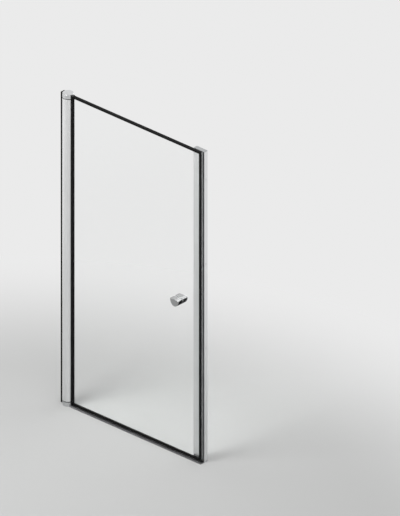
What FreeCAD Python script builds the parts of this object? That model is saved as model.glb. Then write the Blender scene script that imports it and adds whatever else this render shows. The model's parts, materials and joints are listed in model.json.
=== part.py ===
import FreeCAD, Part
import math
import os

# Niche pivot shower door, in millimetres.
# A framed glass leaf hangs on a round aluminium column. The column turns between two bearing
# caps with round covers, screwed to a rail on the hinge wall. The leaf opens outwards, away from
# the shower, and closes against a jamb on the opposite wall. A low threshold joins the two sides.
# Origin: on the floor, halfway between the walls, in the middle plane of the glass.
# +X runs from the hinge wall to the closing wall, +Y into the shower, +Z up.

# Overall sizes
NICHE_WIDTH = 1000.0
DOOR_HEIGHT = 1850.0
COLUMN_TO_WALL = 10.0

# Clearances
SLIDE_GAP = 0.1
RUNNING_GAP = 0.05
SEAL_GAP = 0.3
SWING_GAP = 1.5

# Pivot column and the channel that takes the glass carrier
COLUMN_DIAMETER = 60.0
COLUMN_WALL = 3.0
CHANNEL_FLOOR_FROM_AXIS = 12.0
CHANNEL_WEB = 2.5
PORT_WALL = 1.9
PORT_ROOT = 0.6
PORT_ANGLE = 130.0
ACCESS_HOLE_DIAMETER = 10.0
ACCESS_PLUG_LENGTH = 5.0
ACCESS_PLUG_PROUD = 0.1

# Bearing caps and their covers, pins, bushes and end plugs
CAP_HEIGHT = 24.0
CAP_FLOOR = 4.0
CAP_COVER_WALL = 2.0
CAP_ROUNDING = 2.0
CAP_LUG_STEP = 2.0
KEY_HOLE_DIAMETER = 5.0
PIN_DIAMETER = 12.0
PIN_CHAMFER = 1.0
PIN_TIP_ROOM = 3.0
THRUST_WASHER_DIAMETER = 38.0
THRUST_WASHER_THICKNESS = 1.0
BUSH_WALL = 2.95
BUSH_LENGTH = 24.0
PLUG_FLANGE = 3.0
PLUG_SPIGOT = 30.0

# Rail on the hinge wall and its seal
RAIL_WIDTH = 26.0
RAIL_DEPTH = 8.0
RAIL_FLOOR = 3.0
RAIL_LIP = 2.0
RAIL_SLOT_MOUTH = 9.0
RAIL_SLOT_WIDTH = 11.0
RAIL_PORT_SPACING = 18.0
WALL_SEAL_WIDTH = 16.0
WALL_SEAL_WRAP = 2.0

# Holes for the wall screws, in the rail and in the closing channel
WALL_HOLE_DIAMETER = 5.2
WALL_HOLE_COUNT = 4
WALL_HOLE_END = 175.0

# Glass leaf
GLASS_THICKNESS = 8.0
GLASS_NOTCH_ROUNDING = 5.0
LEAF_LIFT = 9.0
LEAF_DROP = 5.0
LEAF_TO_CLOSING_WALL = 10.0
TRIM_WIDTH = 13.0
TRIM_WEB = 4.0
TRIM_LEG = 3.0
TRIM_ROUNDING = 1.2

# Glass carrier between the column and the glass
CARRIER_THICKNESS = 20.0
CARRIER_BEYOND_COLUMN = 12.0
CARRIER_BASE = 5.5
CARRIER_ROUNDING = 2.0
CARRIER_END_CAP = 2.0
CARRIER_SCREW_COUNT = 6
CARRIER_SCREW_END = 97.0
GASKET_THICKNESS = 1.0
GASKET_LIP = 1.6
EDGE_SPACER = 2.0

# Rail and wiper under the glass
BOTTOM_RAIL_HEIGHT = 12.5
BOTTOM_RAIL_WEB = 5.0
WIPER_MOUTH = 2.6
WIPER_BEAD_WIDTH = 5.6
WIPER_BEAD_HEIGHT = 2.0
WIPER_GROOVE_LIP = 1.5
WIPER_LIP_SPREAD = 11.0
WIPER_LIP_THICKNESS = 0.9
RAIL_END_CAP = 2.0

# Seal and magnet strips at the closing edge
FIN_TIP_TO_WALL = 1.0
FIN_THICKNESS = 1.2
FIN_BULB_DIAMETER = 1.9
FIN_FLANGE_WIDTH = 4.4
FIN_FLANGE = 0.8
FIN_BEAD_DIAMETER = 2.5
FIN_BEAD_DEPTH = 1.9
FIN_NECK = 1.1
MAGNET_WIDTH = 5.0
LEAF_MAGNET_DEPTH = 1.5
JAMB_MAGNET_SEAT = 1.0

# Jamb on the closing wall
JAMB_WIDTH = 75.0
JAMB_DEPTH = 25.0
JAMB_WALL = 2.0
JAMB_ROUNDING = 3.0
STOP_GAP = 3.0
CHANNEL_BASE_WEB = 3.0
CHANNEL_BASE_LEG = 1.8
CHANNEL_BASE_REACH = 25.0
JAMB_END_CAP = 3.0
JAMB_CAP_SPIGOT = 8.0
JAMB_CAP_SPIGOT_WIDTH = 40.0
JAMB_SCREW_COUNT = 4
JAMB_SCREW_END = 120.0
JAMB_SCREW_INSET = 12.0

# Threshold
THRESHOLD_WIDTH = 40.0
THRESHOLD_CROWN = 24.0
THRESHOLD_HEIGHT = 6.0
THRESHOLD_EDGE = 1.5
THRESHOLD_ROUNDING = 5.0

# Knob pair: flat on top, a half oval below, with a soft grip let into the half oval
KNOB_WIDTH = 60.0
KNOB_HEIGHT = 42.0
KNOB_LENGTH = 31.5
KNOB_TOP_ABOVE_STUD = 16.0
KNOB_TOP_ROUNDING = 2.0
KNOB_FACE_ROUNDING = 1.5
KNOB_BACK_ROUNDING = 1.0
KNOB_SLAB = 3.5
KNOB_FACE_PLATE = 2.0
KNOB_GRIP = 2.5
KNOB_COLLAR_WIDTH = 40.0
KNOB_COLLAR_HEIGHT = 26.0
KNOB_COLLAR_LENGTH = 1.5
KNOB_WASHER = 1.0
KNOB_FROM_LEAF_EDGE = 160.0
KNOB_ABOVE_FLOOR = 910.0
STUD_DIAMETER = 8.0
STUD_IN_KNOB = 20.0
STUD_END_ROOM = 1.0
GLASS_HOLE_DIAMETER = 16.0

# Fasteners
SMALL_SCREW_DIAMETER = 3.4
SMALL_SCREW_HEAD = 6.8
SMALL_SCREW_HEAD_HEIGHT = 2.2
SMALL_SCREW_LENGTH = 20.0
CAP_SCREW_DIAMETER = 3.2
CAP_SCREW_HEAD = 6.4
CAP_SCREW_HEAD_HEIGHT = 3.0
CAP_SCREW_SINK = 5.0
CAP_SCREW_GRIP = 16.0
CARRIER_SCREW_DIAMETER = 5.0
CARRIER_SCREW_HEAD = 9.0
CARRIER_SCREW_HEAD_HEIGHT = 3.0
JAMB_SCREW_DIAMETER = 4.0
JAMB_SCREW_HEAD = 7.0
JAMB_SCREW_HEAD_HEIGHT = 2.2
GRUB_DIAMETER = 4.0
GRUB_LENGTH = 8.0
SOCKET_ACROSS = 2.0
SOCKET_DEPTH = 1.5

# Places worked out from the sizes above
X_HINGE_WALL = -NICHE_WIDTH / 2
X_CLOSING_WALL = NICHE_WIDTH / 2
COLUMN_R = COLUMN_DIAMETER / 2
X_AXIS = X_HINGE_WALL + COLUMN_TO_WALL + COLUMN_R
COLUMN_BORE_R = COLUMN_R - COLUMN_WALL
HUB_R = COLUMN_R - CAP_COVER_WALL
PIN_SEAT = CAP_COVER_WALL + CAP_FLOOR
LUG_START = CAP_COVER_WALL + CAP_LUG_STEP
Z_WASHER_TOP = CAP_HEIGHT + THRUST_WASHER_THICKNESS
Z_COLUMN = Z_WASHER_TOP + PLUG_FLANGE
Z_COLUMN_TOP = DOOR_HEIGHT - Z_COLUMN
CARRIER_HALF = CARRIER_THICKNESS / 2
CHANNEL_HALF = CARRIER_HALF + SLIDE_GAP
X_CARRIER_SEAT = X_AXIS + CHANNEL_FLOOR_FROM_AXIS + CHANNEL_WEB
X_CARRIER_END = X_AXIS + COLUMN_R + CARRIER_BEYOND_COLUMN
Z_LEAF = LEAF_LIFT
Z_LEAF_TOP = DOOR_HEIGHT - LEAF_DROP
X_LEAF = X_CLOSING_WALL - LEAF_TO_CLOSING_WALL
X_TRIM = X_LEAF - TRIM_WIDTH
Z_TRIM = Z_LEAF_TOP - TRIM_WIDTH
Z_RAIL_TOP = Z_LEAF + BOTTOM_RAIL_HEIGHT
GLASS_HALF = GLASS_THICKNESS / 2
TRIM_HALF = GLASS_HALF + TRIM_LEG
CARRIER_MOUTH = GLASS_HALF + GASKET_THICKNESS
X_GLASS = X_CARRIER_SEAT + CARRIER_BASE + EDGE_SPACER
X_GLASS_END = X_LEAF - TRIM_WEB
Z_GLASS = Z_LEAF + BOTTOM_RAIL_WEB
Z_GLASS_TOP = Z_LEAF_TOP - TRIM_WEB
X_JAMB = X_CLOSING_WALL - JAMB_WIDTH
Y_JAMB = TRIM_HALF + STOP_GAP
Y_JAMB_BACK = Y_JAMB + JAMB_DEPTH
Z_JAMB = JAMB_END_CAP
Z_JAMB_TOP = Z_LEAF_TOP - JAMB_END_CAP
X_MAGNET = X_LEAF - TRIM_WIDTH / 2
X_KNOB = X_LEAF - KNOB_FROM_LEAF_EDGE
Z_KNOB_TOP = KNOB_ABOVE_FLOOR + KNOB_TOP_ABOVE_STUD
Z_KNOB_SLAB = Z_KNOB_TOP - KNOB_SLAB
X_RAIL_PORT = X_HINGE_WALL + RAIL_DEPTH / 2


# Helpers


def vector(x, y, z):
    return FreeCAD.Vector(x, y, z)


AXIS_FOOT = vector(X_AXIS, 0, 0)
X_DIRECTION = vector(1, 0, 0)
Y_DIRECTION = vector(0, 1, 0)
Z_DIRECTION = vector(0, 0, 1)


def box(x_range, y_range, z_range):
    low = vector(x_range[0], y_range[0], z_range[0])
    high = vector(x_range[1], y_range[1], z_range[1])
    size = high - low
    return Part.makeBox(size.x, size.y, size.z, low)


def rod(diameter, start, direction, length):
    return Part.makeCylinder(diameter / 2, length, start, direction)


def outline(points):
    """Face inside a closed outline. A point is (u, v), or (u, v, radius) for a rounded corner."""
    edges = []
    spans = []
    for index, point in enumerate(points):
        corner = vector(point[0], point[1], 0)
        last = points[index - 1]
        following = points[(index + 1) % len(points)]
        back = (vector(last[0], last[1], 0) - corner).normalize()
        ahead = (vector(following[0], following[1], 0) - corner).normalize()
        if len(point) == 2:
            spans.append((corner, corner))
            continue
        radius = point[2]
        half = back.getAngle(ahead) / 2
        enter = corner + back * (radius / math.tan(half))
        leave = corner + ahead * (radius / math.tan(half))
        middle = corner + (back + ahead).normalize() * (radius / math.sin(half) - radius)
        edges.append(Part.Arc(enter, middle, leave).toShape())
        spans.append((enter, leave))
    for index, span in enumerate(spans):
        goal = spans[(index + 1) % len(spans)][0]
        edges.append(Part.LineSegment(span[1], goal).toShape())
    return Part.Face(Part.Wire(Part.__sortEdges__(edges)))


def profile_along_z(points, z_range):
    """Outline given as (x, y), drawn along Z."""
    face = outline(points)
    face.translate(vector(0, 0, z_range[0]))
    return face.extrude(vector(0, 0, z_range[1] - z_range[0]))


def profile_along_x(points, x_range):
    """Outline given as (y, z), drawn along X."""
    face = outline(points)
    turn = FreeCAD.Rotation(Y_DIRECTION, Z_DIRECTION, X_DIRECTION, "ZXY")
    face.Placement = FreeCAD.Placement(vector(x_range[0], 0, 0), turn)
    return face.extrude(vector(x_range[1] - x_range[0], 0, 0))


def profile_along_y(points, y_range):
    """Outline given as (x, z), drawn along Y."""
    face = outline(points)
    face.rotate(vector(0, 0, 0), X_DIRECTION, 90)
    face.translate(vector(0, y_range[0], 0))
    return face.extrude(vector(0, y_range[1] - y_range[0], 0))


def u_section(half, height, slot_half, slot_depth, rounding):
    """Points (u, v) of a channel that opens at v = height, with its outer corners rounded."""
    web = height - slot_depth
    return [
        (-half, 0, rounding),
        (half, 0, rounding),
        (half, height),
        (slot_half, height),
        (slot_half, web),
        (-slot_half, web),
        (-slot_half, height),
        (-half, height),
    ]


def at_top(shape):
    """The same piece turned over for the upper end of the door."""
    return shape.mirror(vector(0, 0, DOOR_HEIGHT / 2), Z_DIRECTION)


def at_both_ends(shapes):
    return list(shapes) + [at_top(shape) for shape in shapes]


def inside_outside(shape):
    """A piece on the outside of the glass and its twin on the shower side."""
    return [shape, shape.mirror(vector(0, 0, 0), Y_DIRECTION)]


def spread(start, end, margin, count):
    """Evenly spaced places between two ends, the first one a margin in."""
    step = (end - start - 2 * margin) / (count - 1)
    return [start + margin + step * index for index in range(count)]


def socket(seat, direction):
    """Hexagon socket to cut into a screw's end, from the end face inwards."""
    radius = SOCKET_ACROSS / math.sqrt(3)
    across = Z_DIRECTION if abs(direction.z) < 0.5 else X_DIRECTION
    side = direction.cross(across)
    corners = []
    for index in range(7):
        turn = math.radians(60 * index)
        corners.append(seat + across * (radius * math.cos(turn)) + side * (radius * math.sin(turn)))
    return Part.Face(Part.makePolygon(corners)).extrude(direction * SOCKET_DEPTH)


def headed_screw(seat, direction, shank, head, head_height, length):
    """Cylinder-head screw. The head stands behind the seat and the shank runs ahead of it."""
    top = seat - direction * head_height
    screw = rod(head, top, direction, head_height).fuse(rod(shank, seat, direction, length))
    return screw.cut(socket(top, direction)).removeSplitter()


def grub_screw(start, direction):
    """Headless screw whose socket is at its far end."""
    screw = rod(GRUB_DIAMETER, start, direction, GRUB_LENGTH)
    return screw.cut(socket(start + direction * GRUB_LENGTH, direction * -1))


# Hinge side, fixed to the wall


def cap_screw_places():
    half = RAIL_PORT_SPACING / 2
    seat = LUG_START + CAP_SCREW_SINK
    return [vector(X_RAIL_PORT, side * half, seat) for side in (-1, 1)]


def wall_hole_heights():
    return spread(0, DOOR_HEIGHT, WALL_HOLE_END, WALL_HOLE_COUNT)


def wall_rail():
    """Extrusion on the hinge wall: a slot for the seal and a screw port on each side of it."""
    front = X_HINGE_WALL + RAIL_DEPTH
    lip = front - RAIL_LIP
    floor = X_HINGE_WALL + RAIL_FLOOR
    half = RAIL_WIDTH / 2
    mouth = RAIL_SLOT_MOUTH / 2
    slot = RAIL_SLOT_WIDTH / 2
    points = [
        (X_HINGE_WALL, -half),
        (front, -half, TRIM_ROUNDING),
        (front, -mouth),
        (lip, -mouth),
        (lip, -slot),
        (floor, -slot),
        (floor, slot),
        (lip, slot),
        (lip, mouth),
        (front, mouth),
        (front, half, TRIM_ROUNDING),
        (X_HINGE_WALL, half),
    ]
    rail = profile_along_z(points, (CAP_HEIGHT, DOOR_HEIGHT - CAP_HEIGHT))
    for side in (-1, 1):
        foot = vector(X_RAIL_PORT, side * RAIL_PORT_SPACING / 2, 0)
        rail = rail.cut(rod(CAP_SCREW_DIAMETER, foot, Z_DIRECTION, DOOR_HEIGHT))
    for height in wall_hole_heights():
        start = vector(X_HINGE_WALL, 0, height)
        rail = rail.cut(rod(WALL_HOLE_DIAMETER, start, X_DIRECTION, RAIL_FLOOR))
    return rail


def wall_seal():
    """Rubber seal pressed into the rail, with a hollow face that follows the column."""
    front = X_HINGE_WALL + RAIL_DEPTH
    heights = (CAP_HEIGHT, DOOR_HEIGHT - CAP_HEIGHT)
    lip = front - RAIL_LIP - SLIDE_GAP
    floor = X_HINGE_WALL + RAIL_FLOOR
    slot = RAIL_SLOT_WIDTH / 2 - SLIDE_GAP
    mouth = RAIL_SLOT_MOUTH / 2 - SLIDE_GAP
    half = WALL_SEAL_WIDTH / 2
    face = X_AXIS - COLUMN_R + WALL_SEAL_WRAP
    points = [
        (floor, -slot),
        (lip, -slot),
        (lip, -mouth),
        (front, -mouth),
        (front, -half),
        (face, -half),
        (face, half),
        (front, half),
        (front, mouth),
        (lip, mouth),
        (lip, slot),
        (floor, slot),
    ]
    seal = profile_along_z(points, heights)
    return seal.cut(rod(COLUMN_DIAMETER + 2 * SEAL_GAP, AXIS_FOOT, Z_DIRECTION, DOOR_HEIGHT))


def grub_height():
    return (PIN_SEAT + CAP_HEIGHT) / 2


def bearing_cap():
    """Lower cap: a hub under the column that holds the pin, with a lug back to the wall."""
    half = RAIL_WIDTH / 2
    low = AXIS_FOOT + vector(0, 0, CAP_COVER_WALL)
    hub = rod(2 * HUB_R, low, Z_DIRECTION, CAP_HEIGHT - CAP_COVER_WALL)
    lug = box((X_HINGE_WALL, X_AXIS), (-half, half), (LUG_START, CAP_HEIGHT))
    cap = hub.fuse(lug).removeSplitter()
    cap = cap.cut(rod(PIN_DIAMETER, AXIS_FOOT + vector(0, 0, PIN_SEAT), Z_DIRECTION, CAP_HEIGHT))
    grub = vector(X_AXIS, 0, grub_height())
    cap = cap.cut(rod(GRUB_DIAMETER, grub, Y_DIRECTION, COLUMN_DIAMETER))
    for seat in cap_screw_places():
        head = CAP_SCREW_HEAD + 2 * SLIDE_GAP
        shank = CAP_SCREW_DIAMETER + 4 * SLIDE_GAP
        foot = vector(seat.x, seat.y, LUG_START)
        cap = cap.cut(rod(head, foot, Z_DIRECTION, CAP_SCREW_SINK))
        cap = cap.cut(rod(shank, foot, Z_DIRECTION, CAP_HEIGHT))
    return cap


def cap_cover():
    """Cup pressed over the lower hub, slotted for the lug and drilled for the grub screw's key."""
    cup = rod(COLUMN_DIAMETER, AXIS_FOOT, Z_DIRECTION, CAP_HEIGHT)
    rim = [edge for edge in cup.Edges if edge.BoundBox.ZMax < SLIDE_GAP]
    cup = cup.makeFillet(CAP_ROUNDING, rim)
    low = AXIS_FOOT + vector(0, 0, CAP_COVER_WALL)
    cup = cup.cut(rod(2 * HUB_R, low, Z_DIRECTION, CAP_HEIGHT))
    half = RAIL_WIDTH / 2 + SLIDE_GAP
    slot = box((X_HINGE_WALL, X_AXIS), (-half, half), (LUG_START - SLIDE_GAP, CAP_HEIGHT))
    key = rod(KEY_HOLE_DIAMETER, vector(X_AXIS, 0, grub_height()), Y_DIRECTION, COLUMN_DIAMETER)
    return cup.cut(slot).cut(key)


def cap_screws():
    length = CAP_HEIGHT - LUG_START - CAP_SCREW_SINK + CAP_SCREW_GRIP
    size = (CAP_SCREW_DIAMETER, CAP_SCREW_HEAD, CAP_SCREW_HEAD_HEIGHT, length)
    screws = [headed_screw(seat, Z_DIRECTION, *size) for seat in cap_screw_places()]
    return Part.makeCompound(at_both_ends(screws))


def pivot_pin():
    """Steel pin held in the lower cap, with a chamfered free end inside the bush."""
    tip = Z_WASHER_TOP + BUSH_LENGTH - PIN_TIP_ROOM
    pin = rod(PIN_DIAMETER, AXIS_FOOT + vector(0, 0, PIN_SEAT), Z_DIRECTION, tip - PIN_SEAT)
    ends = [edge for edge in pin.Edges if edge.BoundBox.ZMin > tip - PIN_CHAMFER]
    return pin.makeChamfer(PIN_CHAMFER, ends)


def pin_grub_screws():
    start = vector(X_AXIS, PIN_DIAMETER / 2, grub_height())
    # The pin is round, so the screw's flat end stops at the pin's crown.
    return Part.makeCompound(at_both_ends([grub_screw(start, Y_DIRECTION)]))


def thrust_washers():
    seat = AXIS_FOOT + vector(0, 0, CAP_HEIGHT)
    washer = rod(THRUST_WASHER_DIAMETER, seat, Z_DIRECTION, THRUST_WASHER_THICKNESS)
    hole = rod(PIN_DIAMETER + 2 * SEAL_GAP, seat, Z_DIRECTION, THRUST_WASHER_THICKNESS)
    return Part.makeCompound(at_both_ends([washer.cut(hole)]))


# Column and its ends, which turn with the leaf


def port_diameter():
    """Outer size of a screw port inside the column."""
    return SMALL_SCREW_DIAMETER + 2 * PORT_WALL


def port_places():
    """Feet of the two screw ports, whose outsides run a little into the column's wall."""
    radius = COLUMN_BORE_R - port_diameter() / 2 + PORT_ROOT
    places = []
    for side in (-1, 1):
        turn = math.radians(side * PORT_ANGLE)
        places.append(AXIS_FOOT + vector(radius * math.cos(turn), radius * math.sin(turn), 0))
    return places


def carrier_screw_heights():
    return spread(Z_COLUMN, Z_COLUMN_TOP, CARRIER_SCREW_END, CARRIER_SCREW_COUNT)


def column_rod(diameter, centre=AXIS_FOOT):
    """Round bar over the length of the column."""
    return rod(diameter, centre + vector(0, 0, Z_COLUMN), Z_DIRECTION, Z_COLUMN_TOP - Z_COLUMN)


def pivot_column():
    """Round extrusion with a channel for the glass carrier and two screw ports inside."""
    length = (Z_COLUMN, Z_COLUMN_TOP)
    column = column_rod(COLUMN_DIAMETER).cut(column_rod(2 * COLUMN_BORE_R))
    outer = CHANNEL_HALF + CHANNEL_WEB
    floor = X_AXIS + CHANNEL_FLOOR_FROM_AXIS
    walls = box((floor, X_AXIS + COLUMN_R), (-outer, outer), length)
    column = column.fuse(walls.common(column_rod(COLUMN_DIAMETER)))
    for place in port_places():
        boss = column_rod(port_diameter(), place)
        column = column.fuse(boss).cut(column_rod(SMALL_SCREW_DIAMETER, place))
    slot = box((X_CARRIER_SEAT, X_AXIS + COLUMN_DIAMETER), (-CHANNEL_HALF, CHANNEL_HALF), length)
    column = column.cut(slot).removeSplitter()
    for height in carrier_screw_heights():
        centre = vector(X_AXIS, 0, height)
        column = column.cut(rod(ACCESS_HOLE_DIAMETER, centre, X_DIRECTION * -1, COLUMN_DIAMETER))
        column = column.cut(rod(CARRIER_SCREW_DIAMETER, centre, X_DIRECTION, COLUMN_R))
    return column


def access_hole_plugs():
    """Plugs pressed into the holes at the column's back, flush with its round outside."""
    plugs = []
    outside = column_rod(COLUMN_DIAMETER + 2 * ACCESS_PLUG_PROUD)
    for height in carrier_screw_heights():
        end = vector(X_AXIS - COLUMN_R + ACCESS_PLUG_LENGTH, 0, height)
        bar = rod(ACCESS_HOLE_DIAMETER, end, X_DIRECTION * -1, COLUMN_R)
        plugs.append(bar.common(outside))
    return Part.makeCompound(plugs)


def bush_diameter():
    return PIN_DIAMETER + 2 * RUNNING_GAP + 2 * BUSH_WALL


def end_plug():
    """Lower plug: a flange over the column's end and a D-shaped spigot that holds the bush."""
    foot = AXIS_FOOT + vector(0, 0, Z_WASHER_TOP)
    plug = rod(COLUMN_DIAMETER, foot, Z_DIRECTION, PLUG_FLANGE)
    spigot = rod(2 * (COLUMN_BORE_R - SLIDE_GAP), foot, Z_DIRECTION, PLUG_FLANGE + PLUG_SPIGOT)
    flat = X_AXIS + CHANNEL_FLOOR_FROM_AXIS - SLIDE_GAP
    beyond = (flat, X_AXIS + COLUMN_DIAMETER)
    room = box(beyond, (-COLUMN_DIAMETER, COLUMN_DIAMETER), (Z_COLUMN, Z_COLUMN + PLUG_SPIGOT))
    spigot = spigot.cut(room)
    for place in port_places():
        boss = port_diameter() + 2 * SLIDE_GAP
        spigot = spigot.cut(rod(boss, place + vector(0, 0, Z_COLUMN), Z_DIRECTION, PLUG_SPIGOT))
    plug = plug.fuse(spigot).removeSplitter()
    plug = plug.cut(rod(bush_diameter(), foot, Z_DIRECTION, BUSH_LENGTH))
    for place in port_places():
        start = vector(place.x, place.y, Z_WASHER_TOP)
        plug = plug.cut(countersink(start, SLIDE_GAP))
    return plug


def countersink(start, gap):
    """Conical head and straight shank of a countersunk screw, grown by a gap."""
    wide = SMALL_SCREW_HEAD / 2 + gap
    narrow = SMALL_SCREW_DIAMETER / 2 + gap
    cone = Part.makeCone(wide, narrow, SMALL_SCREW_HEAD_HEIGHT, start, Z_DIRECTION)
    return cone.fuse(rod(2 * narrow, start, Z_DIRECTION, SMALL_SCREW_LENGTH)).removeSplitter()


def end_plug_screws():
    screws = []
    for place in port_places():
        start = vector(place.x, place.y, Z_WASHER_TOP)
        screws.append(countersink(start, 0).cut(socket(start, Z_DIRECTION)))
    return Part.makeCompound(at_both_ends(screws))


def bush():
    foot = AXIS_FOOT + vector(0, 0, Z_WASHER_TOP)
    bore = rod(PIN_DIAMETER + 2 * RUNNING_GAP, foot, Z_DIRECTION, BUSH_LENGTH)
    return rod(bush_diameter(), foot, Z_DIRECTION, BUSH_LENGTH).cut(bore)


# Glass, its carrier and its edge trims


def glass_carrier():
    """Black clamp bar. Its tongue sits in the column, and its ends step out past the caps."""
    z_range = (Z_LEAF + CARRIER_END_CAP, Z_LEAF_TOP - CARRIER_END_CAP)
    back = X_CARRIER_SEAT + CARRIER_BASE
    points = [
        (X_CARRIER_SEAT, -CARRIER_HALF),
        (X_CARRIER_END, -CARRIER_HALF, CARRIER_ROUNDING),
        (X_CARRIER_END, -CARRIER_MOUTH),
        (back, -CARRIER_MOUTH),
        (back, CARRIER_MOUTH),
        (X_CARRIER_END, CARRIER_MOUTH),
        (X_CARRIER_END, CARRIER_HALF, CARRIER_ROUNDING),
        (X_CARRIER_SEAT, CARRIER_HALF),
    ]
    bar = profile_along_z(points, z_range)
    step = (X_CARRIER_SEAT, carrier_step())
    side = (-CARRIER_THICKNESS, CARRIER_THICKNESS)
    bar = bar.cut(box(step, side, (0, Z_COLUMN)))
    bar = bar.cut(box(step, side, (Z_COLUMN_TOP, DOOR_HEIGHT)))
    for height in carrier_screw_heights():
        start = vector(X_CARRIER_SEAT, 0, height)
        bar = bar.cut(rod(CARRIER_SCREW_DIAMETER, start, X_DIRECTION, CARRIER_BASE))
    return bar


def carrier_step():
    """Where the carrier starts beyond the ends of the column, clear of the caps."""
    return X_AXIS + COLUMN_R + SWING_GAP


def carrier_end_caps():
    points = [
        (carrier_step(), -CARRIER_HALF),
        (X_CARRIER_END, -CARRIER_HALF, CARRIER_ROUNDING),
        (X_CARRIER_END, CARRIER_HALF, CARRIER_ROUNDING),
        (carrier_step(), CARRIER_HALF),
    ]
    lower = profile_along_z(points, (Z_LEAF, Z_LEAF + CARRIER_END_CAP))
    upper = profile_along_z(points, (Z_LEAF_TOP - CARRIER_END_CAP, Z_LEAF_TOP))
    return Part.makeCompound([lower, upper])


def carrier_gasket():
    """Outer gasket: a strip beside the glass with a lip over the end of the carrier."""
    lip = X_CARRIER_END + GASKET_THICKNESS
    points = [
        (carrier_step(), -CARRIER_MOUTH),
        (X_CARRIER_END, -CARRIER_MOUTH),
        (X_CARRIER_END, -CARRIER_MOUTH - GASKET_LIP),
        (lip, -CARRIER_MOUTH - GASKET_LIP, GASKET_THICKNESS / 2),
        (lip, -GLASS_HALF),
        (carrier_step(), -GLASS_HALF),
    ]
    return profile_along_z(points, (Z_RAIL_TOP, Z_TRIM))


def glass_edge_spacer():
    start = X_CARRIER_SEAT + CARRIER_BASE
    low = Z_COLUMN + GLASS_NOTCH_ROUNDING
    high = Z_COLUMN_TOP - GLASS_NOTCH_ROUNDING
    return box((start, X_GLASS), (-GLASS_HALF, GLASS_HALF), (low, high))


def carrier_screws():
    length = CHANNEL_WEB + CARRIER_BASE
    size = (CARRIER_SCREW_DIAMETER, CARRIER_SCREW_HEAD, CARRIER_SCREW_HEAD_HEIGHT, length)
    floor = X_AXIS + CHANNEL_FLOOR_FROM_AXIS
    screws = []
    for height in carrier_screw_heights():
        screws.append(headed_screw(vector(floor, 0, height), X_DIRECTION, *size))
    return Part.makeCompound(screws)


def glass_pane():
    """Pane with a hole for the knob and two corners cut back round the bearing caps."""
    low = Z_COLUMN + GLASS_NOTCH_ROUNDING
    high = Z_COLUMN_TOP - GLASS_NOTCH_ROUNDING
    points = [
        (X_GLASS, low),
        (carrier_step(), low, GLASS_NOTCH_ROUNDING),
        (carrier_step(), Z_GLASS),
        (X_GLASS_END, Z_GLASS),
        (X_GLASS_END, Z_GLASS_TOP),
        (carrier_step(), Z_GLASS_TOP),
        (carrier_step(), high, GLASS_NOTCH_ROUNDING),
        (X_GLASS, high),
    ]
    pane = profile_along_y(points, (-GLASS_HALF, GLASS_HALF))
    start = vector(X_KNOB, -GLASS_HALF, KNOB_ABOVE_FLOOR)
    return pane.cut(rod(GLASS_HOLE_DIAMETER, start, Y_DIRECTION, GLASS_THICKNESS))


def mitre(third_corner):
    """Wedge on one side of the diagonal where the top trim meets the closing trim."""
    corners = [(X_TRIM, Z_TRIM), (X_LEAF, Z_LEAF_TOP), third_corner]
    return profile_along_y(corners, (-TRIM_WIDTH, TRIM_WIDTH))


def trim_slot():
    return TRIM_WIDTH - TRIM_WEB


def top_edge_trim():
    points = []
    for point in u_section(TRIM_HALF, TRIM_WIDTH, GLASS_HALF, trim_slot(), TRIM_ROUNDING):
        points.append((point[0], Z_LEAF_TOP - point[1], *point[2:]))
    trim = profile_along_x(points, (X_CARRIER_END, X_LEAF)).cut(mitre((X_LEAF, Z_TRIM)))
    return trim.cut(fin_groove())


def fin_groove():
    """Keyhole groove in the leaf's closing edge, which runs out through the mitred corner."""
    bead = vector(X_LEAF - FIN_BEAD_DEPTH, 0, 0)
    neck = FIN_NECK / 2 + SLIDE_GAP
    mouth = box((bead.x, X_LEAF), (-neck, neck), (0, DOOR_HEIGHT))
    return rod(FIN_BEAD_DIAMETER + 2 * SLIDE_GAP, bead, Z_DIRECTION, DOOR_HEIGHT).fuse(mouth)


def closing_edge_trim():
    """Upright trim with a keyhole groove for the fin seal and a seat for the magnet strip."""
    points = []
    for point in u_section(TRIM_HALF, TRIM_WIDTH, GLASS_HALF, trim_slot(), TRIM_ROUNDING):
        points.append((X_LEAF - point[1], point[0], *point[2:]))
    heights = (Z_RAIL_TOP, Z_LEAF_TOP)
    trim = profile_along_z(points, heights).cut(mitre((X_TRIM, Z_LEAF_TOP)))
    half = MAGNET_WIDTH / 2
    seat = (TRIM_HALF - LEAF_MAGNET_DEPTH, TRIM_HALF)
    trim = trim.cut(box((X_MAGNET - half, X_MAGNET + half), seat, heights))
    return trim.cut(fin_groove())


def leaf_magnet_strip():
    half = MAGNET_WIDTH / 2
    seat = (TRIM_HALF - LEAF_MAGNET_DEPTH, TRIM_HALF)
    return box((X_MAGNET - half, X_MAGNET + half), seat, (Z_RAIL_TOP, Z_TRIM))


def closing_edge_seal():
    """Fin that bridges the gap to the closing wall, held by a bead in the trim."""
    heights = (Z_RAIL_TOP, Z_LEAF_TOP)
    length = Z_LEAF_TOP - Z_RAIL_TOP
    bead_x = X_LEAF - FIN_BEAD_DEPTH
    bulb_x = X_CLOSING_WALL - FIN_TIP_TO_WALL - FIN_BULB_DIAMETER / 2
    flange = FIN_FLANGE_WIDTH / 2
    fin = FIN_THICKNESS / 2
    neck = FIN_NECK / 2
    seal = rod(FIN_BEAD_DIAMETER, vector(bead_x, 0, Z_RAIL_TOP), Z_DIRECTION, length)
    seal = seal.fuse(box((bead_x, X_LEAF), (-neck, neck), heights))
    seal = seal.fuse(box((X_LEAF, X_LEAF + FIN_FLANGE), (-flange, flange), heights))
    seal = seal.fuse(box((X_LEAF, bulb_x), (-fin, fin), heights))
    bulb = rod(FIN_BULB_DIAMETER, vector(bulb_x, 0, Z_RAIL_TOP), Z_DIRECTION, length)
    return seal.fuse(bulb).removeSplitter()


def wiper_groove_top():
    return Z_LEAF + WIPER_GROOVE_LIP + WIPER_BEAD_HEIGHT + 2 * SLIDE_GAP


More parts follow.
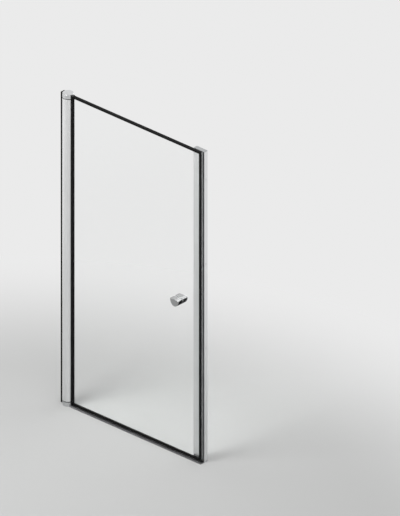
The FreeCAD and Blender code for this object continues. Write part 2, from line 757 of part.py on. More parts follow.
def rail_section():
    """Outline (y, z) of the bottom rail: a slot for the glass above, a T-groove below."""
    mouth = WIPER_MOUTH / 2 + SLIDE_GAP
    groove = WIPER_BEAD_WIDTH / 2 + SLIDE_GAP
    lip = Z_LEAF + WIPER_GROOVE_LIP
    top = wiper_groove_top()
    right = [
        (mouth, Z_LEAF),
        (TRIM_HALF, Z_LEAF, TRIM_ROUNDING),
        (TRIM_HALF, Z_RAIL_TOP, TRIM_ROUNDING),
        (GLASS_HALF, Z_RAIL_TOP),
        (GLASS_HALF, Z_GLASS),
    ]
    left = [(-point[0], *point[1:]) for point in reversed(right)]
    groove_points = [(-mouth, lip), (-groove, lip), (-groove, top), (groove, top), (groove, lip)]
    return right + left + groove_points + [(mouth, lip)]


def bottom_rail():
    return profile_along_x(rail_section(), (X_CARRIER_END, X_LEAF - RAIL_END_CAP))


def rail_end_cap():
    points = [
        (-TRIM_HALF, Z_LEAF, TRIM_ROUNDING),
        (TRIM_HALF, Z_LEAF, TRIM_ROUNDING),
        (TRIM_HALF, Z_RAIL_TOP),
        (-TRIM_HALF, Z_RAIL_TOP),
    ]
    return profile_along_x(points, (X_LEAF - RAIL_END_CAP, X_LEAF))


def wiper_blade():
    """Strip in the bottom rail whose two lips ride just above the threshold."""
    bead = WIPER_BEAD_WIDTH / 2
    neck = WIPER_MOUTH / 2
    low = Z_LEAF + WIPER_GROOVE_LIP + SLIDE_GAP
    root = Z_LEAF - SLIDE_GAP
    tip = THRESHOLD_HEIGHT + SEAL_GAP
    spread_half = WIPER_LIP_SPREAD / 2
    right = [
        (0, root - WIPER_LIP_THICKNESS),
        (spread_half - WIPER_LIP_THICKNESS, tip),
        (spread_half, tip),
        (neck, root),
        (neck, low),
        (bead, low),
        (bead, low + WIPER_BEAD_HEIGHT),
    ]
    left = [(-point[0], point[1]) for point in reversed(right[1:])]
    return profile_along_x(right + left, (X_CARRIER_END, X_LEAF - RAIL_END_CAP))


# Knob pair through the glass


def oval(width, height, z_middle, y_start, length):
    """Elliptical block about a line along Y, drawn away from the glass to the outside."""
    long_half = max(width, height) / 2
    short_half = min(width, height) / 2
    face = Part.Face(Part.Wire(Part.Ellipse(vector(0, 0, 0), long_half, short_half).toShape()))
    if height > width:
        face.rotate(vector(0, 0, 0), Z_DIRECTION, 90)
    face.rotate(vector(0, 0, 0), X_DIRECTION, 90)
    face.translate(vector(X_KNOB, y_start, z_middle))
    return face.extrude(vector(0, -length, 0))


def knob_seat():
    return -GLASS_HALF - KNOB_WASHER


def knob_back():
    return knob_seat() - KNOB_COLLAR_LENGTH


def knob_front():
    return knob_back() - KNOB_LENGTH


def grub_y():
    """Middle of the stud's grip in the outer knob."""
    return knob_back() - (STUD_IN_KNOB - KNOB_COLLAR_LENGTH) / 2


def knob_bowl(inset):
    """Lower half of an oval over the length of the knob, smaller all round by an inset."""
    width = KNOB_WIDTH - 2 * inset
    depth = KNOB_HEIGHT - KNOB_SLAB - inset
    block = oval(width, 2 * depth, Z_KNOB_SLAB, knob_back(), KNOB_LENGTH)
    sides = (X_KNOB - KNOB_WIDTH, X_KNOB + KNOB_WIDTH)
    upper = (Z_KNOB_SLAB, Z_KNOB_SLAB + KNOB_HEIGHT)
    return block.cut(box(sides, (knob_front(), knob_back()), upper))


def knob_block():
    """Whole outside of the outer knob, with its top, front and back edges rounded."""
    half = KNOB_WIDTH / 2
    slab = box((X_KNOB - half, X_KNOB + half), (knob_front(), knob_back()), (Z_KNOB_SLAB, Z_KNOB_TOP))
    block = slab.fuse(knob_bowl(0)).removeSplitter()
    long_edges = []
    for edge in block.Edges:
        along = edge.BoundBox.YLength > KNOB_LENGTH / 2
        if along and edge.BoundBox.ZMin > Z_KNOB_TOP - SLIDE_GAP:
            long_edges.append(edge)
    block = block.makeFillet(KNOB_TOP_ROUNDING, long_edges)
    front_edges = [edge for edge in block.Edges if edge.BoundBox.YMax < knob_front() + SLIDE_GAP]
    block = block.makeFillet(KNOB_FACE_ROUNDING, front_edges)
    back_edges = [edge for edge in block.Edges if edge.BoundBox.YMin > knob_back() - SLIDE_GAP]
    return block.makeFillet(KNOB_BACK_ROUNDING, back_edges)


def grip_room():
    """Space round the half oval, under the top slab and behind the face plate."""
    sides = (X_KNOB - KNOB_WIDTH, X_KNOB + KNOB_WIDTH)
    depth = (knob_front() + KNOB_FACE_PLATE, knob_back())
    heights = (Z_KNOB_TOP - 2 * KNOB_HEIGHT, Z_KNOB_SLAB)
    return box(sides, depth, heights).cut(knob_bowl(KNOB_GRIP))


def knob():
    """Outer knob: top slab, face plate and core on a collar, bored for stud and grub screw."""
    size = (KNOB_COLLAR_WIDTH, KNOB_COLLAR_HEIGHT)
    collar = oval(*size, KNOB_ABOVE_FLOOR, knob_seat(), KNOB_COLLAR_LENGTH)
    body = knob_block().cut(grip_room()).fuse(collar).removeSplitter()
    seat = vector(X_KNOB, knob_seat(), KNOB_ABOVE_FLOOR)
    body = body.cut(rod(STUD_DIAMETER, seat, Y_DIRECTION * -1, STUD_IN_KNOB + STUD_END_ROOM))
    side = vector(X_KNOB, grub_y(), KNOB_ABOVE_FLOOR)
    return body.cut(rod(GRUB_DIAMETER, side, Z_DIRECTION * -1, KNOB_HEIGHT))


def knob_grip():
    """Soft black skin of the outer knob's half oval, with a hole for the grub screw's key."""
    side = vector(X_KNOB, grub_y(), KNOB_ABOVE_FLOOR)
    key = rod(KEY_HOLE_DIAMETER, side, Z_DIRECTION * -1, KNOB_HEIGHT)
    return knob_block().common(grip_room()).cut(key)


def knob_stud():
    reach = -knob_seat() + STUD_IN_KNOB
    return rod(STUD_DIAMETER, vector(X_KNOB, -reach, KNOB_ABOVE_FLOOR), Y_DIRECTION, 2 * reach)


def knob_sleeve():
    start = vector(X_KNOB, -GLASS_HALF, KNOB_ABOVE_FLOOR)
    tube = rod(GLASS_HOLE_DIAMETER - 2 * SLIDE_GAP, start, Y_DIRECTION, GLASS_THICKNESS)
    return tube.cut(rod(STUD_DIAMETER, start, Y_DIRECTION, GLASS_THICKNESS))


def knob_washers():
    collar = (KNOB_COLLAR_WIDTH, KNOB_COLLAR_HEIGHT)
    washer = oval(*collar, KNOB_ABOVE_FLOOR, -GLASS_HALF, KNOB_WASHER)
    hole = rod(STUD_DIAMETER, vector(X_KNOB, knob_seat(), KNOB_ABOVE_FLOOR), Y_DIRECTION, KNOB_WASHER)
    return Part.makeCompound(inside_outside(washer.cut(hole)))


def knob_grub_screws():
    start = vector(X_KNOB, grub_y(), KNOB_ABOVE_FLOOR - STUD_DIAMETER / 2)
    return Part.makeCompound(inside_outside(grub_screw(start, Z_DIRECTION * -1)))


# Closing side, fixed to the wall


def jamb_heights():
    return (Z_JAMB, Z_JAMB_TOP)


def jamb_screw_heights():
    return spread(Z_JAMB, Z_JAMB_TOP, JAMB_SCREW_END, JAMB_SCREW_COUNT)


def jamb_screw_x():
    return X_CLOSING_WALL - CHANNEL_BASE_REACH + JAMB_SCREW_INSET


def jamb_inside():
    """The two inner faces of the cover, which the wall channel's legs touch."""
    return Y_JAMB + JAMB_WALL, Y_JAMB_BACK - JAMB_WALL


def closing_wall_channel():
    """Channel screwed to the closing wall. The cover slides over its legs."""
    front, back = jamb_inside()
    wall = X_CLOSING_WALL - CHANNEL_BASE_WEB
    tip = X_CLOSING_WALL - CHANNEL_BASE_REACH
    points = [
        (X_CLOSING_WALL, front),
        (X_CLOSING_WALL, back),
        (tip, back),
        (tip, back - CHANNEL_BASE_LEG),
        (wall, back - CHANNEL_BASE_LEG),
        (wall, front + CHANNEL_BASE_LEG),
        (tip, front + CHANNEL_BASE_LEG),
        (tip, front),
    ]
    channel = profile_along_z(points, jamb_heights())
    for height in wall_hole_heights():
        start = vector(wall, (front + back) / 2, height)
        channel = channel.cut(rod(WALL_HOLE_DIAMETER, start, X_DIRECTION, CHANNEL_BASE_WEB))
    for height in jamb_screw_heights():
        start = vector(jamb_screw_x(), back, height)
        channel = channel.cut(rod(JAMB_SCREW_DIAMETER, start, Y_DIRECTION * -1, CHANNEL_BASE_LEG))
    return channel


def closing_cover():
    """Cover with a stop face behind the leaf, a seat for the magnet seal and rounded corners."""
    front, back = jamb_inside()
    inner = max(JAMB_ROUNDING - JAMB_WALL, SLIDE_GAP)
    points = [
        (X_CLOSING_WALL, Y_JAMB),
        (X_JAMB, Y_JAMB, JAMB_ROUNDING),
        (X_JAMB, Y_JAMB_BACK, JAMB_ROUNDING),
        (X_CLOSING_WALL, Y_JAMB_BACK),
        (X_CLOSING_WALL, back),
        (X_JAMB + JAMB_WALL, back, inner),
        (X_JAMB + JAMB_WALL, front, inner),
        (X_CLOSING_WALL, front),
    ]
    cover = profile_along_z(points, jamb_heights())
    half = MAGNET_WIDTH / 2
    seat = (Y_JAMB, Y_JAMB + JAMB_MAGNET_SEAT)
    cover = cover.cut(box((X_MAGNET - half, X_MAGNET + half), seat, jamb_heights()))
    for height in jamb_screw_heights():
        start = vector(jamb_screw_x(), Y_JAMB_BACK, height)
        cover = cover.cut(rod(JAMB_SCREW_DIAMETER, start, Y_DIRECTION * -1, JAMB_WALL))
    return cover


def jamb_magnet_seal():
    half = MAGNET_WIDTH / 2
    depth = (TRIM_HALF + SEAL_GAP, Y_JAMB + JAMB_MAGNET_SEAT)
    foot = max(THRESHOLD_HEIGHT, JAMB_END_CAP)
    return box((X_MAGNET - half, X_MAGNET + half), depth, (foot, Z_JAMB_TOP))


def jamb_end_cap():
    """Lower cap of the jamb: a plate of the jamb's outline with a spigot inside the cover."""
    front, back = jamb_inside()
    points = [
        (X_CLOSING_WALL, Y_JAMB),
        (X_JAMB, Y_JAMB, JAMB_ROUNDING),
        (X_JAMB, Y_JAMB_BACK, JAMB_ROUNDING),
        (X_CLOSING_WALL, Y_JAMB_BACK),
    ]
    plate = profile_along_z(points, (0, JAMB_END_CAP))
    start = X_JAMB + JAMB_WALL + SLIDE_GAP
    wide = (start, start + JAMB_CAP_SPIGOT_WIDTH)
    deep = (front + SLIDE_GAP, back - SLIDE_GAP)
    spigot = box(wide, deep, (0, JAMB_END_CAP + JAMB_CAP_SPIGOT))
    corners = [edge for edge in spigot.Edges if edge.BoundBox.ZLength > JAMB_END_CAP]
    return plate.fuse(spigot.makeFillet(JAMB_ROUNDING, corners)).removeSplitter()


def jamb_top_cap():
    return jamb_end_cap().mirror(vector(0, 0, Z_LEAF_TOP / 2), Z_DIRECTION)


def jamb_screws():
    length = JAMB_WALL + CHANNEL_BASE_LEG
    size = (JAMB_SCREW_DIAMETER, JAMB_SCREW_HEAD, JAMB_SCREW_HEAD_HEIGHT, length)
    screws = []
    for height in jamb_screw_heights():
        seat = vector(jamb_screw_x(), Y_JAMB_BACK, height)
        screws.append(headed_screw(seat, Y_DIRECTION * -1, *size))
    return Part.makeCompound(screws)


def threshold_bar():
    """Low ramped sill, hollowed at one end round the lower cap and notched round the jamb."""
    half = THRESHOLD_WIDTH / 2
    crown = THRESHOLD_CROWN / 2
    points = [
        (-half, 0),
        (half, 0),
        (half, THRESHOLD_EDGE),
        (crown, THRESHOLD_HEIGHT, THRESHOLD_ROUNDING),
        (-crown, THRESHOLD_HEIGHT, THRESHOLD_ROUNDING),
        (-half, THRESHOLD_EDGE),
    ]
    bar = profile_along_x(points, (X_AXIS, X_CLOSING_WALL))
    bar = bar.cut(rod(COLUMN_DIAMETER + 2 * SEAL_GAP, AXIS_FOOT, Z_DIRECTION, CAP_HEIGHT))
    notch = box((X_JAMB, X_CLOSING_WALL), (Y_JAMB, half), (0, THRESHOLD_HEIGHT))
    return bar.cut(notch)


# One file per piece

NODES = {
    "wall_rail": wall_rail(),
    "wall_seal": wall_seal(),
    "bottom_bearing_cap": bearing_cap(),
    "top_bearing_cap": at_top(bearing_cap()),
    "bottom_cap_cover": cap_cover(),
    "top_cap_cover": at_top(cap_cover()),
    "cap_screws": cap_screws(),
    "bottom_pivot_pin": pivot_pin(),
    "top_pivot_pin": at_top(pivot_pin()),
    "pin_grub_screws": pin_grub_screws(),
    "thrust_washers": thrust_washers(),
    "pivot_column": pivot_column(),
    "access_hole_plugs": access_hole_plugs(),
    "bottom_end_plug": end_plug(),
    "top_end_plug": at_top(end_plug()),
    "end_plug_screws": end_plug_screws(),
    "bottom_bush": bush(),
    "top_bush": at_top(bush()),
    "glass_carrier": glass_carrier(),
    "carrier_end_caps": carrier_end_caps(),
    "carrier_gasket_outer": inside_outside(carrier_gasket())[0],
    "carrier_gasket_inner": inside_outside(carrier_gasket())[1],
    "glass_edge_spacer": glass_edge_spacer(),
    "carrier_screws": carrier_screws(),
    "glass_pane": glass_pane(),
    "top_edge_trim": top_edge_trim(),
    "closing_edge_trim": closing_edge_trim(),
    "leaf_magnet_strip": leaf_magnet_strip(),
    "closing_edge_seal": closing_edge_seal(),
    "bottom_rail": bottom_rail(),
    "rail_end_cap": rail_end_cap(),
    "wiper_blade": wiper_blade(),
    "knob_outer": inside_outside(knob())[0],
    "knob_inner": inside_outside(knob())[1],
    "knob_grip_outer": inside_outside(knob_grip())[0],
    "knob_grip_inner": inside_outside(knob_grip())[1],
    "knob_stud": knob_stud(),
    "knob_sleeve": knob_sleeve(),
    "knob_washers": knob_washers(),
    "knob_grub_screws": knob_grub_screws(),
    "closing_wall_channel": closing_wall_channel(),
    "closing_cover": closing_cover(),
    "jamb_magnet_seal": jamb_magnet_seal(),
    "jamb_bottom_cap": jamb_end_cap(),
    "jamb_top_cap": jamb_top_cap(),
    "jamb_screws": jamb_screws(),
    "threshold_bar": threshold_bar(),
}

os.makedirs("parts", exist_ok=True)
for name, shape in NODES.items():
    shape.exportStep("parts/" + name + ".step")
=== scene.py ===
"""Niche pivot shower door, dressed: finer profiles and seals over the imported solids, a procedural
finish on every piece, and a plain studio.

Metres, in the frame of the solids: +X from the hinge wall to the closing wall, +Y into the shower,
+Z up, with the origin on the floor in the middle plane of the glass."""

import json
import math

import bmesh
import bpy
import numpy as np
from mathutils import Matrix, Vector


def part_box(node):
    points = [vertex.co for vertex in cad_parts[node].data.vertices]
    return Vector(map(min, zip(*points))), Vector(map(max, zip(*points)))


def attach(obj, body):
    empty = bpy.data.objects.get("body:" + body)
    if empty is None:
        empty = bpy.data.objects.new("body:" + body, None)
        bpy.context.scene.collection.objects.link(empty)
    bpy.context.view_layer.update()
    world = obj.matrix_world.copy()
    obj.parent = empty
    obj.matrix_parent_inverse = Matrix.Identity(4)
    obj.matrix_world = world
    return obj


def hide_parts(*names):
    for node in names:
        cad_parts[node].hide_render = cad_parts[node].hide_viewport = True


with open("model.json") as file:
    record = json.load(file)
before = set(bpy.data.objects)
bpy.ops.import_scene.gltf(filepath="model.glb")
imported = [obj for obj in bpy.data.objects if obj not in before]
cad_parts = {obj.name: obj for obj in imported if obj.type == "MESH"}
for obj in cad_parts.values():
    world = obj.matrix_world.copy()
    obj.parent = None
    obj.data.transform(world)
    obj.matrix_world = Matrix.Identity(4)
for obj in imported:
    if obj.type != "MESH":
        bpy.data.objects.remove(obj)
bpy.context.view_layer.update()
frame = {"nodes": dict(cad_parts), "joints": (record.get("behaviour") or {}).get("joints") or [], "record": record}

MM = 0.001

# View of the photograph: a parallel projection
PHOTO_WIDTH = 400
PHOTO_HEIGHT = 516
PIXELS_PER_METRE = 191.4
ORIGIN_PIXEL = (132.7, 432.4)
VIEW_AZIMUTH = math.radians(42.73)
VIEW_ELEVATION = math.radians(28.41)
VIEW_DISTANCE = 6.0
VIEW_REACH = 100.0

# Places read from the solids
AXIS = Vector(frame["joints"][0]["pos_m"])
COLUMN_LOW, COLUMN_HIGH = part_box("pivot_column")
COLUMN_R = AXIS.x - COLUMN_LOW.x
BAR_LOW, BAR_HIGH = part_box("glass_carrier")
BAR_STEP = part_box("carrier_end_caps")[0].x
GLASS_LOW, GLASS_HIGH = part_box("glass_pane")
TOP_TRIM_LOW, TOP_TRIM_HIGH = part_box("top_edge_trim")
SIDE_TRIM_LOW, SIDE_TRIM_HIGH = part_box("closing_edge_trim")
RAIL_LOW, RAIL_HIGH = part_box("bottom_rail")
WIPER_LOW, WIPER_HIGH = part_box("wiper_blade")
GASKET_LOW, GASKET_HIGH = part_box("carrier_gasket_inner")
FIN_LOW, FIN_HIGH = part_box("closing_edge_seal")
LEAF_MAGNET_LOW, LEAF_MAGNET_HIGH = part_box("leaf_magnet_strip")
WALL_SEAL_LOW, WALL_SEAL_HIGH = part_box("wall_seal")
WALL_RAIL_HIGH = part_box("wall_rail")[1]
COVER_LOW, COVER_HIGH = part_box("closing_cover")
JAMB_SEAL_LOW, JAMB_SEAL_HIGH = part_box("jamb_magnet_seal")
SILL_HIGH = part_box("threshold_bar")[1]
KNOB_LOW, KNOB_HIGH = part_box("knob_outer")
# The knob's black grip is a dark piece on the knob's lower side, put where shade falls: painted shade.
PAINTED_SHADE_GRIP_LOW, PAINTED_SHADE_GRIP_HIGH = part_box("knob_grip_outer")
COLLAR_LOW, COLLAR_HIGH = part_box("knob_washers")

# Sizes of the finer profiles
HAIR_EDGE = 0.1 * MM
FINE_EDGE = 0.2 * MM
SOFT_EDGE = 0.3 * MM
SLIDE_GAP = 0.1 * MM
SEAL_GAP = 0.3 * MM
MITRE_GAP = 0.06 * MM
COLUMN_EDGE = 0.4 * MM
BAR_WEB = 2.0 * MM
BAR_CORNER = 2.0 * MM
GASKET_LIP = 1.6 * MM
GASKET_ROUND = 0.8 * MM
TRIM_CORNER = 1.2 * MM
TIP_CORNER = 0.5 * MM
BEAD_SIZE = 1.4 * MM
GROOVE_LIP = 1.5 * MM
FIN_MOUTH = 1.3 * MM
FIN_MOUTH_DEPTH = 2.0 * MM
FIN_FLANGE = 0.8 * MM
FIN_NECK = 1.1 * MM
FIN_THICKNESS = 1.2 * MM
FIN_BULB_R = 0.95 * MM
WIPER_MOUTH = 2.6 * MM
WIPER_ROOT = 8.9 * MM
WIPER_NECK = 10.6 * MM
WIPER_BEAD = 5.6 * MM
LIP_THICKNESS = 0.9 * MM
LIP_TIP = 0.5 * MM
WALL_SEAL_BASE = 8.6 * MM
WALL_SEAL_LIP = 0.5 * MM
KNOB_CROWN = 2.2 * MM
KNOB_TOP_ROUND = 0.6 * MM
KNOB_FACE_ROUND = 1.5 * MM
KNOB_BACK_ROUND = 1.0 * MM
# Depth of the seat of the black grip, which is painted shade on the knob's lower side.
KNOB_PAINTED_SHADE_GRIP_DEPTH = 2.5 * MM
COVER_WALL = 2.0 * MM
COVER_CORNER = 3.0 * MM
COVER_SEAT = 1.0 * MM
SILL_CROWN = 24.0 * MM
SILL_EDGE = 1.5 * MM
SILL_EDGE_CORNER = 0.4 * MM
SILL_CROWN_CORNER = 5.0 * MM
SILL_GROOVE = 0.9 * MM
SILL_GROOVE_PLACES = (2.5 * MM, 5.0 * MM)

# Fineness of the meshes
ARC_STEPS = 6
COLUMN_ARC_POINTS = 241
BULB_POINTS = 24
LIP_POINTS = 17
LIP_HIDDEN_POINTS = 4
HOLLOW_POINTS = 36
CROWN_POINTS = 49
OVAL_POINTS = 65
SHARP_ANGLE = math.radians(32)
SAME_PLACE = 1e-8

# Colours of the finishes: one colour, or the darkest and the lightest tone of one
SILVER = ((0.88, 0.885, 0.89, 1), (0.945, 0.947, 0.95, 1))
# The jamb's silver is the same anodising a shade darker: painted shade on the jamb.
JAMB_SILVER_PAINTED_SHADE = ((0.77, 0.775, 0.78, 1), (0.84, 0.842, 0.845, 1))
TURNED_SILVER = ((0.68, 0.69, 0.70, 1), (0.74, 0.745, 0.75, 1))
GRAPHITE = ((0.17, 0.17, 0.175, 1), (0.22, 0.22, 0.225, 1))
COAT_BLACK = ((0.0018, 0.0018, 0.0019, 1), (0.0038, 0.0038, 0.0041, 1))
STEEL = ((0.52, 0.52, 0.53, 1), (0.64, 0.64, 0.65, 1))
RUBBER_BLACK = ((0.005, 0.005, 0.005, 1), (0.009, 0.009, 0.009, 1))
NYLON_BLACK = ((0.006, 0.006, 0.006, 1), (0.011, 0.011, 0.0115, 1))
CAP_GREY = ((0.40, 0.41, 0.42, 1), (0.46, 0.47, 0.48, 1))
ACETAL_WHITE = ((0.74, 0.74, 0.72, 1), (0.82, 0.82, 0.80, 1))
MAGNET_DARK = ((0.020, 0.020, 0.021, 1), (0.045, 0.044, 0.043, 1))
VINYL = ((0.80, 0.83, 0.83, 1), (0.9, 0.92, 0.92, 1))
CHROME = (0.45, 0.455, 0.46, 1)
# Lighter colour of the knob's back at the glass: painted light in the shaded gap.
CHROME_SATIN_PAINTED_LIGHT = (0.72, 0.725, 0.73, 1)
GLASS_FACE = (0.988, 0.993, 0.991, 1)
GLASS_EDGE = (0.62, 0.86, 0.78, 1)
GLASS_TO_LAMPS = (0.95, 0.965, 0.96, 1)
SILVER_DUST = (0.7, 0.69, 0.67, 1)
CHROME_DUST = (0.41, 0.41, 0.39, 1)
COAT_DUST = (0.3, 0.29, 0.28, 1)
MOULDING_DUST = (0.4, 0.39, 0.37, 1)

# Name, tones, roughness, grains per metre, depth of the grain and gloss
MOULDINGS = {
    "black_rubber": ("black rubber", RUBBER_BLACK, 0.70, 900.0, 0.02 * MM, 0.25),
    "black_plastic": ("black nylon", NYLON_BLACK, 0.50, 1300.0, 0.03 * MM, 0.3),
    "grey_plastic": ("grey plastic", CAP_GREY, 0.48, 1300.0, 0.03 * MM, 0.5),
    "bearing_plastic": ("white acetal", ACETAL_WHITE, 0.36, 700.0, 0.01 * MM, 0.5),
    "magnet": ("bonded magnet", MAGNET_DARK, 0.58, 2200.0, 0.02 * MM, 0.5),
}

# Range that most of a noise texture's values lie in
NOISE_RANGE = (0.3, 0.7)

# Lines and streaks: how often they change per metre along X, Y and Z
LINES_UP = (900.0, 900.0, 5.0)
LINES_ALONG = (5.0, 900.0, 900.0)
FINE_LINES_UP = (1800.0, 1800.0, 8.0)
FINE_LINES_ALONG = (8.0, 1800.0, 1800.0)
FINE_SPECKS = (1500.0, 1500.0, 1500.0)
MARK_STREAKS = (160.0, 160.0, 34.0)
RINGS_PER_METRE = 1400.0

# Distance from the middle of the glass at which a finish changes: from the first value to the second
GLASS_EDGE_ENDS = (GLASS_HIGH.y - 0.6 * MM, GLASS_HIGH.y - 0.2 * MM)
# Where the knob's rougher back begins, whose lighter colour is painted light in the gap at the glass.
CHROME_SATIN_AND_PAINTED_LIGHT_ENDS = (-KNOB_HIGH.y + 1.8 * MM, -KNOB_HIGH.y + 2.2 * MM)

# Stage
FLOOR_R = 14.0
FLOOR_SIDES = 96
FLOOR_FULL_R = 2.0
FLOOR_FADE_R = 3.3
FLOOR_CENTRE = (0.4, -1.5, 0.0)
FLOOR_COLOUR = (0.59, 0.594, 0.59, 1.0)
BACKDROP = 0.83
BACKDROP_STOPS = (
    (0.0, BACKDROP), (0.5, BACKDROP), (0.53, 0.46), (0.60, 0.42),
    (0.69, 1.02), (0.80, 1.02), (0.87, 0.42), (1.0, 0.30),
)
# Name, place, aim, width, height and power in watts
LAMPS = (
    ("key lamp", (-0.9, -2.9, 3.3), (0.0, 0.0, 0.8), 2.2, 2.2, 80),
    ("side lamp", (2.6, -1.2, 2.2), (0.0, 0.0, 0.9), 1.8, 3.0, 9),
    ("back lamp", (0.4, 2.8, 2.9), (0.0, 0.0, 1.0), 3.0, 2.2, 26),
)


# Shapes


def unit(vectors):
    """Vectors divided by their lengths."""
    return vectors / np.linalg.norm(vectors, axis=-1, keepdims=True)


def rounded_outline(corners):
    """Closed outline (n, 2) through corners (u, v, r).

    Each corner becomes the arc of radius r that touches both of its sides. Its directions turn
    evenly from one side's normal to the other's: (sin((1 - t) w) a + sin(t w) b) / sin w, where w is
    the turn and t goes from 0 to 1. A corner with r = 0 stays sharp."""
    corners = np.array(corners, float)
    places = corners[:, :2]
    radius = corners[:, 2:3]
    back = unit(np.roll(places, 1, axis=0) - places)
    ahead = unit(np.roll(places, -1, axis=0) - places)
    half = np.arccos(np.clip((back * ahead).sum(axis=1, keepdims=True), -1, 1)) / 2
    centre = places + unit(back + ahead) * radius / np.sin(half)
    first = places + back * radius / np.tan(half) - centre
    last = places + ahead * radius / np.tan(half) - centre
    turn = (math.pi - 2 * half)[:, None]
    t = np.linspace(0, 1, ARC_STEPS + 1)[None, :, None]
    swing = np.sin((1 - t) * turn) * first[:, None] + np.sin(t * turn) * last[:, None]
    points = (centre[:, None] + swing / np.sin(turn)).reshape(-1, 2)
    keep = np.linalg.norm(points - np.roll(points, 1, axis=0), axis=1) > SAME_PLACE
    return points[keep]


def placed(outline, order, along):
    """Ring (n, 3) of an outline. order names the axes of u and v, along fills the third axis."""
    ring = np.empty((len(outline), 3))
    axes = ["xyz".index(letter) for letter in order]
    ring[:, axes[0]] = outline[:, 0]
    ring[:, axes[1]] = outline[:, 1]
    ring[:, 3 - sum(axes)] = along
    return ring


def skin(rings):
    """Closed skin over rings (ring, point, 3): quads join each ring to the next, and one many-sided
    face closes each end. Returns the points and the index arrays of the faces."""
    rings = np.asarray(rings)
    count, size = rings.shape[:2]
    here = np.arange(count - 1)[:, None] * size + np.arange(size)
    beside = np.roll(here, -1, axis=1)
    quads = np.stack([here, beside, beside + size, here + size], axis=-1).reshape(-1, 4)
    start = np.arange(size)[None, ::-1]
    end = np.arange(size)[None, :] + (count - 1) * size
    return rings.reshape(-1, 3), [quads, start, end]


def carried(outline, order, start, end):
    """Closed skin of an outline carried straight along the third axis. start and end are places on
    that axis, or one place for each point where an end isn't cut square."""
    return skin([placed(outline, order, start), placed(outline, order, end)])


def mirrored(shape):
    """The same skin on the other side of the glass: y becomes -y."""
    points, faces = shape
    return points * np.array([1.0, -1.0, 1.0]), faces


def make_piece(name, shapes, body, slot, stands_for=None, finish=None):
    """One object from closed skins, with outward faces, smooth arcs and flat faces kept flat. It
    takes the finish of its slot unless it has one of its own."""
    counts = [len(points) for points, arrays in shapes]
    starts = np.cumsum([0] + counts[:-1])
    faces = []
    for start, (points, arrays) in zip(starts, shapes):
        for array in arrays:
            faces.extend((array + start).tolist())
    mesh = bpy.data.meshes.new(name)
    mesh.from_pydata(np.concatenate([points for points, arrays in shapes]).tolist(), [], faces)
    turned = bmesh.new()
    turned.from_mesh(mesh)
    bmesh.ops.recalc_face_normals(turned, faces=turned.faces)
    turned.to_mesh(mesh)
    turned.free()
    mesh.polygons.foreach_set("use_smooth", np.ones(len(mesh.polygons), bool))
    mesh.set_sharp_from_angle(angle=SHARP_ANGLE)
    piece = bpy.data.objects.new(name, mesh)
    bpy.context.scene.collection.objects.link(piece)
    even = piece.modifiers.new("flat faces stay flat", "WEIGHTED_NORMAL")
    even.keep_sharp = True
    mesh.materials.append(finish or FINISHES[slot])
    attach(piece, body)
    if stands_for:
        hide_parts(stands_for)


# Column and clamp bar


def column_tube():
    """Round column: the circle R (cos t, sin t) about the axis, from t = a to 2 pi - a, where
    sin a is half the slot over R, closed by the floor of the slot and carried up with a small
    chamfer at each end."""
    slot_half = BAR_HIGH.y + SLIDE_GAP
    opening = math.asin(slot_half / COLUMN_R)
    turn = np.linspace(opening, 2 * math.pi - opening, COLUMN_ARC_POINTS)
    slot_floor = np.array([[BAR_LOW.x, -slot_half], [BAR_LOW.x, slot_half]])

    def ring(height, inset):
        """Section of the tube at a height, with the circle made smaller by inset."""
        radius = COLUMN_R - inset
        arc = np.stack([AXIS.x + radius * np.cos(turn), radius * np.sin(turn)], axis=1)
        return placed(np.concatenate([arc, slot_floor]), "xy", height)

    low, high = COLUMN_LOW.z, COLUMN_HIGH.z
    return skin([
        ring(low, COLUMN_EDGE),
        ring(low + COLUMN_EDGE, 0),
        ring(high - COLUMN_EDGE, 0),
        ring(high, COLUMN_EDGE),
    ])


def clamp_bar():
    """Clamp bar: a channel section carried up, and the tongue behind it, which reaches into the slot
    of the column and is as long as the column."""
    mouth = GASKET_HIGH.y - GASKET_LIP
    back = BAR_STEP + BAR_WEB
    channel = rounded_outline([
        (BAR_STEP, -BAR_HIGH.y, 0),
        (BAR_HIGH.x, -BAR_HIGH.y, BAR_CORNER),
        (BAR_HIGH.x, -mouth, TIP_CORNER),
        (back, -mouth, 0),
        (back, mouth, 0),
        (BAR_HIGH.x, mouth, TIP_CORNER),
        (BAR_HIGH.x, BAR_HIGH.y, BAR_CORNER),
        (BAR_STEP, BAR_HIGH.y, 0),
    ])
    tongue = rounded_outline([
        (BAR_LOW.x, -BAR_HIGH.y, 0),
        (BAR_STEP, -BAR_HIGH.y, 0),
        (BAR_STEP, BAR_HIGH.y, 0),
        (BAR_LOW.x, BAR_HIGH.y, 0),
    ])
    return [
        carried(channel, "xy", BAR_LOW.z, BAR_HIGH.z),
        carried(tongue, "xy", COLUMN_LOW.z, COLUMN_HIGH.z),
    ]


def bar_gasket():
    """Gasket beside the glass with a round lip over the end of the clamp bar, carried up."""
    start = BAR_STEP + BAR_WEB
    strip = GASKET_HIGH.y - GASKET_LIP
    outline = rounded_outline([
        (start, GASKET_LOW.y, 0),
        (GASKET_HIGH.x, GASKET_LOW.y, FINE_EDGE),
        (GASKET_HIGH.x, GASKET_HIGH.y, GASKET_ROUND),
        (BAR_HIGH.x, GASKET_HIGH.y, HAIR_EDGE),
        (BAR_HIGH.x, strip, 0),
        (start, strip, 0),
    ])
    return carried(outline, "xy", GASKET_LOW.z, GASKET_HIGH.z)


# Edge trims of the glass


